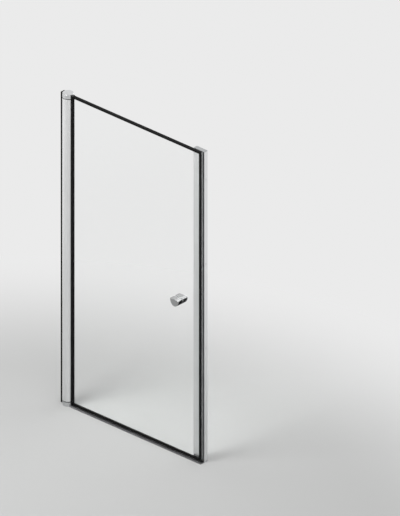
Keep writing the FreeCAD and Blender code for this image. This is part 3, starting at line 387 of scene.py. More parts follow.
def top_trim():
    """Channel over the top edge, carried along X and cut at 45 degrees: the far end's x follows z."""
    half = TOP_TRIM_HIGH.y
    top = TOP_TRIM_HIGH.z
    tip = TOP_TRIM_LOW.z
    outline = rounded_outline([
        (-half, top, TRIM_CORNER),
        (half, top, TRIM_CORNER),
        (half, tip, TIP_CORNER),
        (GLASS_HIGH.y, tip, TIP_CORNER),
        (GLASS_HIGH.y, GLASS_HIGH.z, 0),
        (-GLASS_HIGH.y, GLASS_HIGH.z, 0),
        (-GLASS_HIGH.y, tip, TIP_CORNER),
        (-half, tip, TIP_CORNER),
    ])
    mitre = TOP_TRIM_HIGH.x - (top - outline[:, 1]) - MITRE_GAP
    return carried(outline, "yz", TOP_TRIM_LOW.x, mitre)


def side_trim():
    """Channel over the free edge with a keyhole mouth for the fin and a seat for the magnet,
    carried up and cut at 45 degrees: the upper end's z follows x."""
    edge = SIDE_TRIM_HIGH.x
    half = SIDE_TRIM_HIGH.y
    mouth = FIN_MOUTH / 2
    tip = SIDE_TRIM_LOW.x
    outline = rounded_outline([
        (edge, mouth, 0),
        (edge, half, TRIM_CORNER),
        (LEAF_MAGNET_HIGH.x, half, 0),
        (LEAF_MAGNET_HIGH.x, LEAF_MAGNET_LOW.y, 0),
        (LEAF_MAGNET_LOW.x, LEAF_MAGNET_LOW.y, 0),
        (LEAF_MAGNET_LOW.x, half, 0),
        (tip, half, TIP_CORNER),
        (tip, GLASS_HIGH.y, TIP_CORNER),
        (GLASS_HIGH.x, GLASS_HIGH.y, 0),
        (GLASS_HIGH.x, -GLASS_HIGH.y, 0),
        (tip, -GLASS_HIGH.y, TIP_CORNER),
        (tip, -half, TIP_CORNER),
        (edge, -half, TRIM_CORNER),
        (edge, -mouth, 0),
        (edge - FIN_MOUTH_DEPTH, -mouth, 0),
        (edge - FIN_MOUTH_DEPTH, mouth, 0),
    ])
    mitre = SIDE_TRIM_HIGH.z - (edge - outline[:, 0]) - MITRE_GAP
    return carried(outline, "xy", SIDE_TRIM_LOW.z, mitre)


def lower_rail():
    """Rail under the glass: a glass slot above, a mouth for the wiper below, carried along X."""
    mouth = WIPER_MOUTH / 2 + SLIDE_GAP
    half = RAIL_HIGH.y
    outline = rounded_outline([
        (mouth, RAIL_LOW.z, FINE_EDGE),
        (half, RAIL_LOW.z, TRIM_CORNER),
        (half, RAIL_HIGH.z, TRIM_CORNER),
        (GLASS_HIGH.y, RAIL_HIGH.z, TIP_CORNER),
        (GLASS_HIGH.y, GLASS_LOW.z, 0),
        (-GLASS_HIGH.y, GLASS_LOW.z, 0),
        (-GLASS_HIGH.y, RAIL_HIGH.z, TIP_CORNER),
        (-half, RAIL_HIGH.z, TRIM_CORNER),
        (-half, RAIL_LOW.z, TRIM_CORNER),
        (-mouth, RAIL_LOW.z, FINE_EDGE),
        (-mouth, RAIL_LOW.z + GROOVE_LIP, 0),
        (mouth, RAIL_LOW.z + GROOVE_LIP, 0),
    ])
    return carried(outline, "yz", RAIL_LOW.x, RAIL_HIGH.x)


def glazing_bead(order, frame_edge, out, start, end):
    """Hollow-faced bead in the corner between a trim's tip and the glass. Its section is the
    square corner less a quarter circle: (1 - sin t, 1 - cos t) times the bead's size."""
    t = np.linspace(0, math.pi / 2, ARC_STEPS + 1)
    across = np.append(1 - np.sin(t), 0.0) * BEAD_SIZE
    along = np.append(1 - np.cos(t), 0.0) * BEAD_SIZE
    outline = np.stack([frame_edge + out * across, GLASS_HIGH.y + along], axis=1)
    return carried(outline, order, start, end)


def glazing_beads():
    """Beads along the top trim, the side trim and the lower rail, on both faces of the glass."""
    left, right = GASKET_HIGH.x, SIDE_TRIM_LOW.x
    low, high = RAIL_HIGH.z, TOP_TRIM_LOW.z
    beads = [
        glazing_bead("zy", high, -1, left, right),
        glazing_bead("xy", right, -1, low + MITRE_GAP, high - MITRE_GAP),
        glazing_bead("zy", low, 1, left, right),
    ]
    return beads + [mirrored(bead) for bead in beads]


# Seals


def fin_seal():
    """Fin at the free edge: a neck in the trim, a flange on it, and a fin that ends in a bulb. The
    bulb is the circle r (cos t, sin t) from where the fin meets it, all carried up."""
    edge = SIDE_TRIM_HIGH.x
    flange = edge + FIN_FLANGE
    half = FIN_HIGH.y
    fin = FIN_THICKNESS / 2
    neck = FIN_NECK / 2
    bulb_x = FIN_HIGH.x - FIN_BULB_R
    meet = math.pi - math.asin(fin / FIN_BULB_R)
    t = np.linspace(-meet, meet, BULB_POINTS)
    bulb = np.stack([bulb_x + FIN_BULB_R * np.cos(t), FIN_BULB_R * np.sin(t)], axis=1)
    stem = rounded_outline([
        (flange, fin, SOFT_EDGE),
        (flange, half, SOFT_EDGE),
        (edge, half, HAIR_EDGE),
        (edge, neck, 0),
        (edge - FIN_MOUTH_DEPTH, neck, 0),
        (edge - FIN_MOUTH_DEPTH, -neck, 0),
        (edge, -neck, 0),
        (edge, -half, HAIR_EDGE),
        (flange, -half, SOFT_EDGE),
        (flange, -fin, SOFT_EDGE),
        (bulb_x, -fin, 0),
        (bulb_x, fin, 0),
    ])
    before_bulb = stem[:, 0] < bulb_x - SLIDE_GAP
    outline = np.concatenate([stem[before_bulb], bulb])
    return carried(outline, "xy", FIN_LOW.z, FIN_HIGH.z)


def wiper_lips():
    """Wiper under the rail. A lip's middle line leaves the root downwards and flares outwards:
    y = a + (reach - a) s^2, where a is a quarter of the mouth, and z falls evenly with s. The lip
    thins from root to tip. Its outline goes down the outer side and up the inner side, as far as
    the stem, which hides the rest."""
    s = np.linspace(0, 1, LIP_POINTS)
    root = WIPER_MOUTH / 4
    reach = WIPER_HIGH.y - LIP_TIP
    middle = root + (reach - root) * s ** 2
    height = WIPER_ROOT + (WIPER_LOW.z - WIPER_ROOT) * s
    thickness = LIP_THICKNESS + (LIP_TIP - LIP_THICKNESS) * s
    outer = np.stack([middle + thickness / 2, height], axis=1)
    inner = np.stack([middle - thickness / 2, height], axis=1)
    lip_outline = np.concatenate([outer, inner[LIP_HIDDEN_POINTS:][::-1]])
    stem_outline = rounded_outline([
        (WIPER_MOUTH / 2, WIPER_ROOT - LIP_THICKNESS, 0),
        (WIPER_MOUTH / 2, WIPER_NECK, 0),
        (WIPER_BEAD / 2, WIPER_NECK, FINE_EDGE),
        (WIPER_BEAD / 2, WIPER_HIGH.z, FINE_EDGE),
        (-WIPER_BEAD / 2, WIPER_HIGH.z, FINE_EDGE),
        (-WIPER_BEAD / 2, WIPER_NECK, FINE_EDGE),
        (-WIPER_MOUTH / 2, WIPER_NECK, 0),
        (-WIPER_MOUTH / 2, WIPER_ROOT - LIP_THICKNESS, 0),
    ])
    lip = carried(lip_outline, "yz", WIPER_LOW.x, WIPER_HIGH.x)
    stem = carried(stem_outline, "yz", WIPER_LOW.x, WIPER_HIGH.x)
    return [lip, mirrored(lip), stem]


def wall_gasket():
    """Seal between the wall rail and the column. Its hollow face is the circle (R + gap) about the
    axis, between two lips with soft edges, carried up."""
    hollow_r = COLUMN_R + SEAL_GAP
    half = WALL_SEAL_HIGH.y - WALL_SEAL_LIP
    lean = math.asin(half / hollow_r)
    turn = math.pi + np.linspace(lean, -lean, HOLLOW_POINTS)
    face = np.stack([AXIS.x + hollow_r * np.cos(turn), hollow_r * np.sin(turn)], axis=1)
    front = WALL_RAIL_HIGH.x
    base = WALL_SEAL_BASE / 2
    back = rounded_outline([
        (WALL_SEAL_HIGH.x - WALL_SEAL_LIP, WALL_SEAL_HIGH.y, WALL_SEAL_LIP),
        (front, WALL_SEAL_HIGH.y, SOFT_EDGE),
        (front, base, 0),
        (WALL_SEAL_LOW.x, base, 0),
        (WALL_SEAL_LOW.x, -base, 0),
        (front, -base, 0),
        (front, -WALL_SEAL_HIGH.y, SOFT_EDGE),
        (WALL_SEAL_HIGH.x - WALL_SEAL_LIP, -WALL_SEAL_HIGH.y, WALL_SEAL_LIP),
    ])
    outline = np.concatenate([face, back])
    return carried(outline, "xy", WALL_SEAL_LOW.z, WALL_SEAL_HIGH.z)


# Knob


def knob_section(inset):
    """Section (x, z) of the knob. Its top is crowned, z = top - crown (x / half)^2, and falls by a
    quarter round at each edge. Under the slab follows the half oval (a cos t, -b sin t), which is
    smaller all round by inset, so that the black grip has its seat. The black grip is a dark piece
    on the knob's lower side that stands in for the shade there: painted shade."""
    middle = (KNOB_LOW.x + KNOB_HIGH.x) / 2
    half = (KNOB_HIGH.x - KNOB_LOW.x) / 2
    slab = PAINTED_SHADE_GRIP_HIGH.z
    t = np.linspace(0, math.pi / 2, ARC_STEPS + 1)
    edge = half - KNOB_TOP_ROUND + KNOB_TOP_ROUND * np.sin(t)
    fall = KNOB_TOP_ROUND * (1 - np.cos(t))
    between = np.linspace(-edge[0], edge[0], CROWN_POINTS)[1:-1]
    x = np.concatenate([-edge[::-1], between, edge])
    drop = np.concatenate([fall[::-1], np.zeros_like(between), fall])
    top = np.stack([x, KNOB_HIGH.z - KNOB_CROWN * (x / half) ** 2 - drop], axis=1)
    t = np.linspace(0, math.pi, OVAL_POINTS)
    depth = slab - KNOB_LOW.z - inset
    oval = np.stack([(half - inset) * np.cos(t), slab - depth * np.sin(t)], axis=1)
    if inset:
        oval = np.concatenate([[[half, slab]], oval, [[-half, slab]]])
    return np.concatenate([top, oval]) + np.array([middle, 0.0])


def drawn_in(outline, inset):
    """Outline scaled about its middle, so that its farthest points move in by inset."""
    low = outline.min(axis=0)
    high = outline.max(axis=0)
    middle = (low + high) / 2
    return middle + (outline - middle) * (1 - 2 * inset / (high - low))


def rounded_end(outline, radius, end, outward):
    """Rings that close a section softly along Y: a quarter circle, where the ring is drawn in by
    r (1 - cos a) as it comes within r (1 - sin a) of the end. outward is the end's direction."""
    rings = []
    for a in np.linspace(0, math.pi / 2, ARC_STEPS + 1):
        smaller = drawn_in(outline, radius * (1 - math.cos(a)))
        rings.append(placed(smaller, "xz", end - outward * radius * (1 - math.sin(a))))
    return rings


def knob_body():
    """Outer knob: a face plate of the whole section, the core behind it with the seat of the black grip,
    a dark piece that stands in for the shade on the knob's lower side (painted shade), and the oval
    collar that stands on the glass. Each is its section carried along Y."""
    whole = knob_section(0)
    core = knob_section(KNOB_PAINTED_SHADE_GRIP_DEPTH)
    t = np.linspace(0, 2 * math.pi, OVAL_POINTS)[:-1]
    middle = (COLLAR_LOW + COLLAR_HIGH) / 2
    half = (COLLAR_HIGH - COLLAR_LOW) / 2
    collar = np.stack([middle.x + half.x * np.cos(t), middle.z + half.z * np.sin(t)], axis=1)
    plate_start = placed(whole, "xz", PAINTED_SHADE_GRIP_LOW.y)
    core_start = placed(core, "xz", PAINTED_SHADE_GRIP_LOW.y - MITRE_GAP)
    return [
        skin([plate_start] + rounded_end(whole, KNOB_FACE_ROUND, KNOB_LOW.y, -1)),
        skin([core_start] + rounded_end(core, KNOB_BACK_ROUND, PAINTED_SHADE_GRIP_HIGH.y, 1)),
        carried(collar, "xz", PAINTED_SHADE_GRIP_HIGH.y - MITRE_GAP, KNOB_HIGH.y),
    ]


# Closing side and floor


def jamb_cover():
    """Cover of the closing profile: a channel that opens to the wall, with round outer corners and
    a seat for the magnet seal, carried up."""
    inner = COVER_CORNER - COVER_WALL
    front = COVER_LOW.y + COVER_WALL
    back = COVER_HIGH.y - COVER_WALL
    start = COVER_LOW.x + COVER_WALL
    seat = COVER_LOW.y + COVER_SEAT
    outline = rounded_outline([
        (COVER_HIGH.x, COVER_LOW.y, 0),
        (JAMB_SEAL_HIGH.x, COVER_LOW.y, 0),
        (JAMB_SEAL_HIGH.x, seat, 0),
        (JAMB_SEAL_LOW.x, seat, 0),
        (JAMB_SEAL_LOW.x, COVER_LOW.y, 0),
        (COVER_LOW.x, COVER_LOW.y, COVER_CORNER),
        (COVER_LOW.x, COVER_HIGH.y, COVER_CORNER),
        (COVER_HIGH.x, COVER_HIGH.y, 0),
        (COVER_HIGH.x, back, 0),
        (start, back, inner),
        (start, front, inner),
        (COVER_HIGH.x, front, 0),
    ])
    return carried(outline, "xy", COVER_LOW.z, COVER_HIGH.z)


def sill_slope(distance):
    """Height of the sill's ramp at a distance in from its edge: a straight line up to the crown."""
    run = SILL_HIGH.y - SILL_CROWN / 2
    return SILL_EDGE + (SILL_HIGH.z - SILL_EDGE) * distance / run


def sill_ramp(side):
    """Corners (y, z, r) up one ramp of the sill: its edge, two fine drip grooves and the crown."""
    outermost = side * SILL_HIGH.y
    corners = [(outermost, 0, 0), (outermost, SILL_EDGE, SILL_EDGE_CORNER)]
    for place in SILL_GROOVE_PLACES:
        y = SILL_HIGH.y - place
        low = sill_slope(place) - SILL_GROOVE
        corners.append((side * (y + SILL_GROOVE / 2), sill_slope(place - SILL_GROOVE / 2), 0))
        corners.append((side * y, low, 0))
        corners.append((side * (y - SILL_GROOVE / 2), sill_slope(place + SILL_GROOVE / 2), 0))
    corners.append((side * SILL_CROWN / 2, SILL_HIGH.z, SILL_CROWN_CORNER))
    return corners


def sill_bar():
    """Low ramped sill carried along X. Its hinge end is hollow round the cap: x follows
    axis + sqrt((R + gap)^2 - y^2). Beside the jamb only the outer part of the section goes on."""
    inside = COVER_LOW.y
    outer_ramp = sill_ramp(-1)[::-1]
    whole = rounded_outline(sill_ramp(1) + outer_ramp)
    outer = rounded_outline([(inside, 0, 0), (inside, SILL_HIGH.z, 0)] + outer_ramp)
    hollow = AXIS.x + np.sqrt((COLUMN_R + SEAL_GAP) ** 2 - whole[:, 0] ** 2)
    return [
        carried(whole, "yz", hollow, COVER_LOW.x),
        carried(outer, "yz", COVER_LOW.x - MITRE_GAP, SILL_HIGH.x),
    ]


# Nodes


def add(tree, kind, values=None, **settings):
    """New node. values fill its inputs: an output socket is linked, anything else is set."""
    made = tree.nodes.new(kind)
    for name, value in settings.items():
        setattr(made, name, value)
    for socket, value in (values or {}).items():
        if isinstance(value, bpy.types.NodeSocket):
            tree.links.new(value, made.inputs[socket])
        else:
            made.inputs[socket].default_value = value
    return made


def remap(tree, value, low, high, new_low, new_high):
    """Value carried from one range to another and held inside it."""
    made = add(tree, "ShaderNodeMapRange", {
        "Value": value, "From Min": low, "From Max": high, "To Min": new_low, "To Max": new_high})
    return made.outputs["Result"]


def spread(tree, value, lowest=0.0):
    """Noise carried from its usual range to the whole range from lowest to 1."""
    return remap(tree, value, *NOISE_RANGE, lowest, 1.0)


def between(tree, mask, first, second):
    """Value that goes from first to second as a mask goes from 0 to 1."""
    return remap(tree, mask, 0, 1, first, second)


def maths(tree, operation, first, second):
    """Result of one operation on two values."""
    made = add(tree, "ShaderNodeMath", {0: first, 1: second}, operation=operation)
    return made.outputs[0]


def plus(tree, value, mask, amount):
    """Value plus a mask times an amount."""
    return maths(tree, "ADD", value, maths(tree, "MULTIPLY", mask, amount))


def times(tree, place, factors):
    """Place stretched along X, Y and Z."""
    made = add(tree, "ShaderNodeVectorMath", {0: place, 1: factors}, operation="MULTIPLY")
    return made.outputs[0]


def blend(tree, share, first, second):
    """Colour that goes from first to second as share goes from 0 to 1. On a Mix node, inputs
    6 and 7 are the two colours, and output 2 is their mix."""
    made = add(tree, "ShaderNodeMix", {0: share, 6: first, 7: second}, data_type="RGBA")
    return made.outputs[2]


def object_place(tree):
    """Place on the piece, in its own coordinates."""
    return add(tree, "ShaderNodeTexCoord").outputs["Object"]


def noise(tree, place, scale, detail, roughness, distortion=0.0):
    """Value of a noise texture at a place."""
    made = add(tree, "ShaderNodeTexNoise", {
        "Vector": place, "Scale": scale, "Detail": detail, "Roughness": roughness,
        "Distortion": distortion})
    return made.outputs["Fac"]


# Shared surface effects, each a node group


def effect(name, inputs, outputs):
    """Empty node group with named sockets. inputs are (name, kind, value), outputs (name, kind)."""
    group = bpy.data.node_groups.new(name, "ShaderNodeTree")
    for title, kind, value in inputs:
        socket = group.interface.new_socket(title, in_out="INPUT", socket_type=kind)
        socket.default_value = value
    for title, kind in outputs:
        group.interface.new_socket(title, in_out="OUTPUT", socket_type=kind)
    entry = group.nodes.new("NodeGroupInput")
    leave = group.nodes.new("NodeGroupOutput")
    return group, entry.outputs, leave.inputs


def draw_lines():
    """Fine lines that a die or a brush leaves: noise stretched along the piece."""
    group, entry, leave = effect(
        "draw lines",
        [("Stretch", "NodeSocketVector", LINES_UP)],
        [("Line", "NodeSocketFloat")],
    )
    stretched = times(group, object_place(group), entry["Stretch"])
    streaks = noise(group, stretched, scale=1.0, detail=3.0, roughness=0.6)
    group.links.new(spread(group, streaks), leave["Line"])
    return group


def coat_grain():
    """Fine orange peel of a sprayed or moulded skin, with slow changes of tone over it."""
    group, entry, leave = effect(
        "coat grain",
        [("Per metre", "NodeSocketFloat", 1400.0)],
        [("Height", "NodeSocketFloat"), ("Tone", "NodeSocketFloat")],
    )
    place = object_place(group)
    fine = noise(group, place, entry["Per metre"], detail=2.0, roughness=0.5)
    cells = add(group, "ShaderNodeTexVoronoi", {"Vector": place, "Scale": entry["Per metre"]})
    slow = noise(group, place, scale=9.0, detail=3.0, roughness=0.55)
    group.links.new(maths(group, "ADD", fine, cells.outputs["Distance"]), leave["Height"])
    group.links.new(spread(group, slow), leave["Tone"])
    return group


def hand_marks():
    """Soft smudges where a surface is wiped and touched: broken patches with fine streaks."""
    group, entry, leave = effect(
        "hand marks",
        [("Per metre", "NodeSocketFloat", 14.0)],
        [("Mark", "NodeSocketFloat")],
    )
    place = object_place(group)
    patch = noise(group, place, entry["Per metre"], detail=3.0, roughness=0.55, distortion=0.4)
    stretched = times(group, place, MARK_STREAKS)
    streak = noise(group, stretched, scale=1.0, detail=2.0, roughness=0.5)
    patches = remap(group, patch, 0.48, 0.68, 0.0, 1.0)
    streaks = spread(group, streak, lowest=0.35)
    group.links.new(maths(group, "MULTIPLY", patches, streaks), leave["Mark"])
    return group


def settled_dust():
    """Thin dust on what faces up: the normal's upward part, broken by noise."""
    group, entry, leave = effect(
        "settled dust",
        [("Per metre", "NodeSocketFloat", 60.0)],
        [("Dust", "NodeSocketFloat")],
    )
    normal = add(group, "ShaderNodeNewGeometry").outputs["Normal"]
    upward = add(group, "ShaderNodeSeparateXYZ", {0: normal}).outputs["Z"]
    facing = remap(group, upward, 0.55, 1.0, 0.0, 1.0)
    broken = noise(group, object_place(group), entry["Per metre"], detail=5.0, roughness=0.65)
    cover = remap(group, broken, 0.4, 0.75, 0.2, 1.0)
    group.links.new(maths(group, "MULTIPLY", facing, cover), leave["Dust"])
    return group


EFFECTS = {group.name: group for group in (draw_lines(), coat_grain(), hand_marks(), settled_dust())}


# Finishes


def new_finish(name, **sockets):
    """Material with a Principled shader whose plain values are set on its own sockets."""
    material = bpy.data.materials.new(name)
    material.use_nodes = True
    tree = material.node_tree
    shader = tree.nodes["Principled BSDF"]
    for title, value in sockets.items():
        shader.inputs[title.replace("_", " ")].default_value = value
    return material, tree, shader


def feed(tree, shader, **sources):
    """Links what changes over the surface to the shader's sockets."""
    for title, source in sources.items():
        tree.links.new(source, shader.inputs[title.replace("_", " ")])


def use(tree, name, **values):
    """Places a shared effect in a material with its own values."""
    made = tree.nodes.new("ShaderNodeGroup")
    made.node_tree = EFFECTS[name]
    for title, value in values.items():
        made.inputs[title.replace("_", " ")].default_value = value
    return made.outputs


def dusted(tree, colour, dust_colour, share, **values):
    """Colour under a thin share of settled dust."""
    dust = use(tree, "settled dust", **values)["Dust"]
    return blend(tree, maths(tree, "MULTIPLY", dust, share), colour, dust_colour)


def relief(tree, shader, height, depth, strength):
    """Bump of a given depth in metres."""
    made = add(tree, "ShaderNodeBump", {"Height": height, "Distance": depth, "Strength": strength})
    feed(tree, shader, Normal=made.outputs["Normal"])


def from_glass_middle(tree, place):
    """Distance from the middle plane of the glass: the size of y."""
    across = add(tree, "ShaderNodeSeparateXYZ", {0: place}).outputs["Y"]
    return maths(tree, "ABSOLUTE", across, 0.0)


def anodised_aluminium(name, tones, stretch):
    """Satin anodising: fine draw lines along the profile, faint marks, a little dust."""
    material, tree, shader = new_finish(name, Metallic=1.0)
    line = use(tree, "draw lines", Stretch=stretch)["Line"]
    mark = use(tree, "hand marks", Per_metre=9.0)["Mark"]
    colour = dusted(tree, blend(tree, line, *tones), SILVER_DUST, share=0.12)
    rough = plus(tree, between(tree, line, 0.30, 0.38), mark, 0.06)
    feed(tree, shader, Base_Color=colour, Roughness=rough)
    relief(tree, shader, line, depth=0.02 * MM, strength=0.5)
    return material


def turned_aluminium():
    """Silver anodising on a turned cover: the tool's fine rings run round the axis. The noise is
    read at (distance from the axis, height), so it is the same all the way round."""
    material, tree, shader = new_finish("turned aluminium", Metallic=1.0)
    to_axis = (-AXIS.x, -AXIS.y, 0)
    centred = add(tree, "ShaderNodeMapping", {"Vector": object_place(tree), "Location": to_axis})
    parts = add(tree, "ShaderNodeSeparateXYZ", {0: centred.outputs["Vector"]}).outputs
    flat = add(tree, "ShaderNodeCombineXYZ", {0: parts["X"], 1: parts["Y"]}).outputs[0]
    away = add(tree, "ShaderNodeVectorMath", {0: flat}, operation="LENGTH").outputs["Value"]
    section = add(tree, "ShaderNodeCombineXYZ", {0: away, 2: parts["Z"]}).outputs[0]
    rings = noise(tree, section, RINGS_PER_METRE, detail=3.0, roughness=0.6)
    line = spread(tree, rings)
    mark = use(tree, "hand marks", Per_metre=20.0)["Mark"]
    colour = blend(tree, line, *TURNED_SILVER)
    rough = plus(tree, between(tree, line, 0.26, 0.34), mark, 0.06)
    feed(tree, shader, Base_Color=colour, Roughness=rough)
    relief(tree, shader, line, depth=0.02 * MM, strength=0.5)
    return material


def polished_chrome():
    """Bright plate with faint finger marks that dull it in places. What faces the glass is left rougher,
    because no polishing wheel gets there, and is given a lighter colour: painted light in the shaded
    gap between the knob and the glass."""
    material, tree, shader = new_finish("polished chrome", Metallic=1.0)
    away = from_glass_middle(tree, object_place(tree))
    satin_and_painted_light = remap(tree, away, *CHROME_SATIN_AND_PAINTED_LIGHT_ENDS, 1.0, 0.0)
    mark = use(tree, "hand marks", Per_metre=30.0)["Mark"]
    bright = dusted(tree, CHROME, CHROME_DUST, share=0.08, Per_metre=180.0)
    # The lighter colour at the glass is painted light in the shaded gap between knob and glass.
    colour = blend(tree, satin_and_painted_light, bright, CHROME_SATIN_PAINTED_LIGHT)
    rough = plus(tree, between(tree, mark, 0.05, 0.16), satin_and_painted_light, 0.45)
    feed(tree, shader, Base_Color=colour, Roughness=rough)
    return material


def black_powder_coat():
    """Satin black powder coat: fine peel, slow changes of tone, dust on top faces."""
    material, tree, shader = new_finish("black powder coat", Specular_IOR_Level=0.12)
    grain = use(tree, "coat grain", Per_metre=1100.0)
    mark = use(tree, "hand marks", Per_metre=11.0)["Mark"]
    coat = blend(tree, grain["Tone"], *COAT_BLACK)
    colour = dusted(tree, coat, COAT_DUST, share=0.03, Per_metre=90.0)
    rough = plus(tree, between(tree, grain["Tone"], 0.50, 0.58), mark, -0.06)
    feed(tree, shader, Base_Color=colour, Roughness=rough)
    relief(tree, shader, grain["Height"], depth=0.03 * MM, strength=0.6)
    return material


def moulded(name, tones, rough, per_metre, depth, gloss):
    """Moulded plastic or rubber: fine skin grain and slow changes of tone."""
    material, tree, shader = new_finish(name, Specular_IOR_Level=gloss)
    grain = use(tree, "coat grain", Per_metre=per_metre)
    plain_colour = blend(tree, grain["Tone"], *tones)
    colour = dusted(tree, plain_colour, MOULDING_DUST, share=0.06, Per_metre=120.0)
    uneven = between(tree, grain["Tone"], rough - 0.05, rough + 0.05)
    feed(tree, shader, Base_Color=colour, Roughness=uneven)
    relief(tree, shader, grain["Height"], depth, strength=0.6)
    return material


def bright_steel():
    """Turned stainless steel: fine random specks and an uneven sheen."""
    material, tree, shader = new_finish("bright steel", Metallic=1.0)
    line = use(tree, "draw lines", Stretch=FINE_SPECKS)["Line"]
    colour = blend(tree, line, *STEEL)
    feed(tree, shader, Base_Color=colour, Roughness=between(tree, line, 0.18, 0.32))
    return material


def clear_vinyl(name, stretch):
    """Flexible clear strip, a little milky, with drawn lines along it."""
    material, tree, shader = new_finish(name, IOR=1.5, Transmission_Weight=0.85)
    line = use(tree, "draw lines", Stretch=stretch)["Line"]
    colour = blend(tree, line, *VINYL)
    feed(tree, shader, Base_Color=colour, Roughness=between(tree, line, 0.12, 0.3))
    return material


def toughened_glass():
    """Clear pane: bright faces with the faintest smudges and roller wave, greener polished edges.
    Lamps shine through it, so its shadow stays pale."""
    material, tree, shader = new_finish("toughened glass", IOR=1.5, Transmission_Weight=1.0)
    place = object_place(tree)
    on_face = remap(tree, from_glass_middle(tree, place), *GLASS_EDGE_ENDS, 0.0, 1.0)
    tint = blend(tree, on_face, GLASS_EDGE, GLASS_FACE)
    mark = use(tree, "hand marks", Per_metre=5.0)["Mark"]
    wave = noise(tree, place, scale=3.5, detail=1.0, roughness=0.5)
    feed(tree, shader, Base_Color=tint, Roughness=between(tree, mark, 0.0, 0.035))
    relief(tree, shader, wave, depth=0.15 * MM, strength=0.3)
    clear = add(tree, "ShaderNodeBsdfTransparent", {"Color": GLASS_TO_LAMPS})
    to_lamp = add(tree, "ShaderNodeLightPath").outputs["Is Shadow Ray"]
    mixed = add(tree, "ShaderNodeMixShader", {
        0: to_lamp, 1: shader.outputs["BSDF"], 2: clear.outputs["BSDF"]})
    tree.links.new(mixed.outputs[0], tree.nodes["Material Output"].inputs["Surface"])
    return material


FINISHES = {
    "silver_aluminium": anodised_aluminium("silver anodising", SILVER, LINES_UP),
    "graphite_aluminium": anodised_aluminium("graphite anodising", GRAPHITE, LINES_ALONG),
    "black_aluminium": black_powder_coat(),
    "chrome": polished_chrome(),
    "steel": bright_steel(),
    "clear_plastic": clear_vinyl("clear vinyl", FINE_LINES_ALONG),
    "glass": toughened_glass(),
}
for slot, values in MOULDINGS.items():
    FINISHES[slot] = moulded(*values)
TURNED_FINISH = turned_aluminium()
# Darker copy of the silver anodising for the jamb cover and channel: painted shade.
JAMB_FINISH_PAINTED_SHADE = anodised_aluminium("silver anodising with painted shade", JAMB_SILVER_PAINTED_SHADE, LINES_UP)
UPRIGHT_VINYL = clear_vinyl("clear vinyl upright", FINE_LINES_UP)
OWN_FINISHES = {
    "bottom_cap_cover": TURNED_FINISH,
    "top_cap_cover": TURNED_FINISH,
    "closing_wall_channel": JAMB_FINISH_PAINTED_SHADE,
}


def finish_solids():
    """Every solid that stays takes the finish of its slot in the record, or one of its own."""
    for part in frame["record"]["subparts"]:
        mesh = frame["nodes"][part["node"]].data
        mesh.materials.clear()
        mesh.materials.append(OWN_FINISHES.get(part["node"], FINISHES[part["material_slot"]]))


# The dressed door


gasket = bar_gasket()
knob = knob_body()
knob_inside = [mirrored(part) for part in knob]

finish_solids()
make_piece("column_tube", [column_tube()], "leaf", "silver_aluminium", "pivot_column")
make_piece("clamp_bar", clamp_bar(), "leaf", "black_aluminium", "glass_carrier")
make_piece("bar_gasket_inner", [gasket], "leaf", "black_rubber", "carrier_gasket_inner")
make_piece("bar_gasket_outer", [mirrored(gasket)], "leaf", "black_rubber", "carrier_gasket_outer")
make_piece("top_trim", [top_trim()], "leaf", "black_aluminium", "top_edge_trim")
make_piece("side_trim", [side_trim()], "leaf", "black_aluminium", "closing_edge_trim")
make_piece("lower_rail", [lower_rail()], "leaf", "black_aluminium", "bottom_rail")
make_piece("glazing_beads", glazing_beads(), "leaf", "black_rubber")
make_piece("fin_seal", [fin_seal()], "leaf", "clear_plastic", "closing_edge_seal", UPRIGHT_VINYL)
make_piece("wiper_lips", wiper_lips(), "leaf", "clear_plastic", "wiper_blade")
make_piece("knob_body_outer", knob, "leaf", "chrome", "knob_outer")
make_piece("knob_body_inner", knob_inside, "leaf", "chrome", "knob_inner")
make_piece("wall_gasket", [wall_gasket()], "frame", "black_rubber", "wall_seal")
make_piece("jamb_cover", [jamb_cover()], "frame", "silver_aluminium", "closing_cover", JAMB_FINISH_PAINTED_SHADE)
make_piece("sill_bar", sill_bar(), "frame", "graphite_aluminium", "threshold_bar")


# Studio


def floor_finish():
    """Plain pale floor that fades into the backdrop away from the door."""
    material = bpy.data.materials.new("studio floor")
    material.use_nodes = True
    tree = material.node_tree
    tree.nodes.remove(tree.nodes["Principled BSDF"])
    ends = {0: object_place(tree), 1: FLOOR_CENTRE}
    away = add(tree, "ShaderNodeVectorMath", ends, operation="DISTANCE").outputs["Value"]
    fade = add(tree, "ShaderNodeMapRange", {
        "Value": away, "From Min": FLOOR_FULL_R, "From Max": FLOOR_FADE_R,
        "To Min": 0.0, "To Max": 1.0}, interpolation_type="SMOOTHSTEP")
    matt = add(tree, "ShaderNodeBsdfDiffuse", {"Color": FLOOR_COLOUR, "Roughness": 0.5})
    glow = add(tree, "ShaderNodeEmission", {"Color": (BACKDROP, BACKDROP, BACKDROP, 1.0)})
    mixed = add(tree, "ShaderNodeMixShader", {
        0: fade.outputs["Result"], 1: matt.outputs["BSDF"], 2: glow.outputs["Emission"]})
    tree.links.new(mixed.outputs[0], tree.nodes["Material Output"].inputs["Surface"])
    material.cycles.emission_sampling = "NONE"
    return material


def make_floor():
    """Disc on the plane z = 0: one many-sided face round R (cos t, sin t)."""
    t = np.linspace(0, 2 * math.pi, FLOOR_SIDES, endpoint=False)
    rim = np.stack([FLOOR_R * np.cos(t), FLOOR_R * np.sin(t), np.zeros_like(t)], axis=1)
    mesh = bpy.data.meshes.new("floor")
    mesh.from_pydata(rim.tolist(), [], [list(range(FLOOR_SIDES))])
    mesh.materials.append(floor_finish())
    floor = bpy.data.objects.new("floor", mesh)
    bpy.context.scene.collection.objects.link(floor)


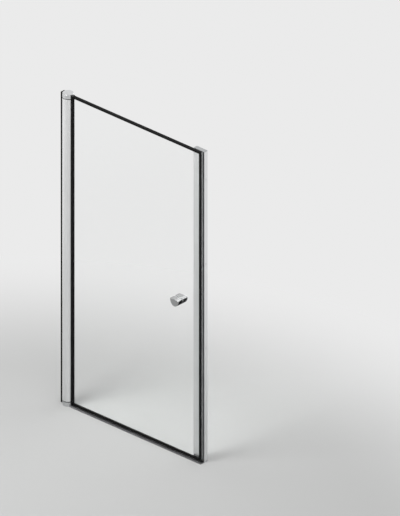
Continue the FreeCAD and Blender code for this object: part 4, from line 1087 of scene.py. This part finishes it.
def make_backdrop():
    """Pale below the horizon, then a dim band, a bright band like a row of lamps, and a dim
    ceiling, which gives metal something to mirror."""
    world = bpy.data.worlds.new("studio")
    bpy.context.scene.world = world
    world.use_nodes = True
    tree = world.node_tree
    direction = add(tree, "ShaderNodeTexCoord").outputs["Generated"]
    height = add(tree, "ShaderNodeSeparateXYZ", {0: direction}).outputs["Z"]
    ramp = add(tree, "ShaderNodeValToRGB", {0: remap(tree, height, -1.0, 1.0, 0.0, 1.0)})
    stops = ramp.color_ramp.elements
    stops.remove(stops[1])
    for place, level in BACKDROP_STOPS:
        stop = stops[0] if place == 0.0 else stops.new(place)
        stop.position = place
        stop.color = (level, level, level, 1.0)
    tree.links.new(ramp.outputs["Color"], tree.nodes["Background"].inputs["Color"])


def add_lamp(name, place, aim, width, height, power):
    """Soft rectangular lamp that faces a point."""
    data = bpy.data.lights.new(name, "AREA")
    data.shape = "RECTANGLE"
    data.size = width
    data.size_y = height
    data.energy = power
    lamp = bpy.data.objects.new(name, data)
    lamp.location = place
    lamp.rotation_euler = (Vector(aim) - Vector(place)).to_track_quat("-Z", "Y").to_euler()
    bpy.context.scene.collection.objects.link(lamp)


def make_camera():
    """Parallel camera of the photograph, aimed so that the origin falls on its pixel."""
    right = Vector((math.cos(VIEW_AZIMUTH), math.sin(VIEW_AZIMUTH), 0))
    level = Vector((math.sin(VIEW_AZIMUTH), -math.cos(VIEW_AZIMUTH), 0))
    back = level * math.cos(VIEW_ELEVATION) + Vector((0, 0, math.sin(VIEW_ELEVATION)))
    up = back.cross(right)
    aside = (PHOTO_WIDTH / 2 - ORIGIN_PIXEL[0]) / PIXELS_PER_METRE
    above = (ORIGIN_PIXEL[1] - PHOTO_HEIGHT / 2) / PIXELS_PER_METRE
    data = bpy.data.cameras.new("camera")
    data.type = "ORTHO"
    data.ortho_scale = PHOTO_HEIGHT / PIXELS_PER_METRE
    data.clip_end = VIEW_REACH
    camera = bpy.data.objects.new("camera", data)
    turned = Matrix((right, up, back)).transposed().to_4x4()
    turned.translation = right * aside + up * above + back * VIEW_DISTANCE
    camera.matrix_world = turned
    bpy.context.scene.collection.objects.link(camera)
    bpy.context.scene.camera = camera


make_floor()
make_backdrop()
for lamp in LAMPS:
    add_lamp(*lamp)
make_camera()
bpy.context.scene.view_settings.view_transform = "Standard"
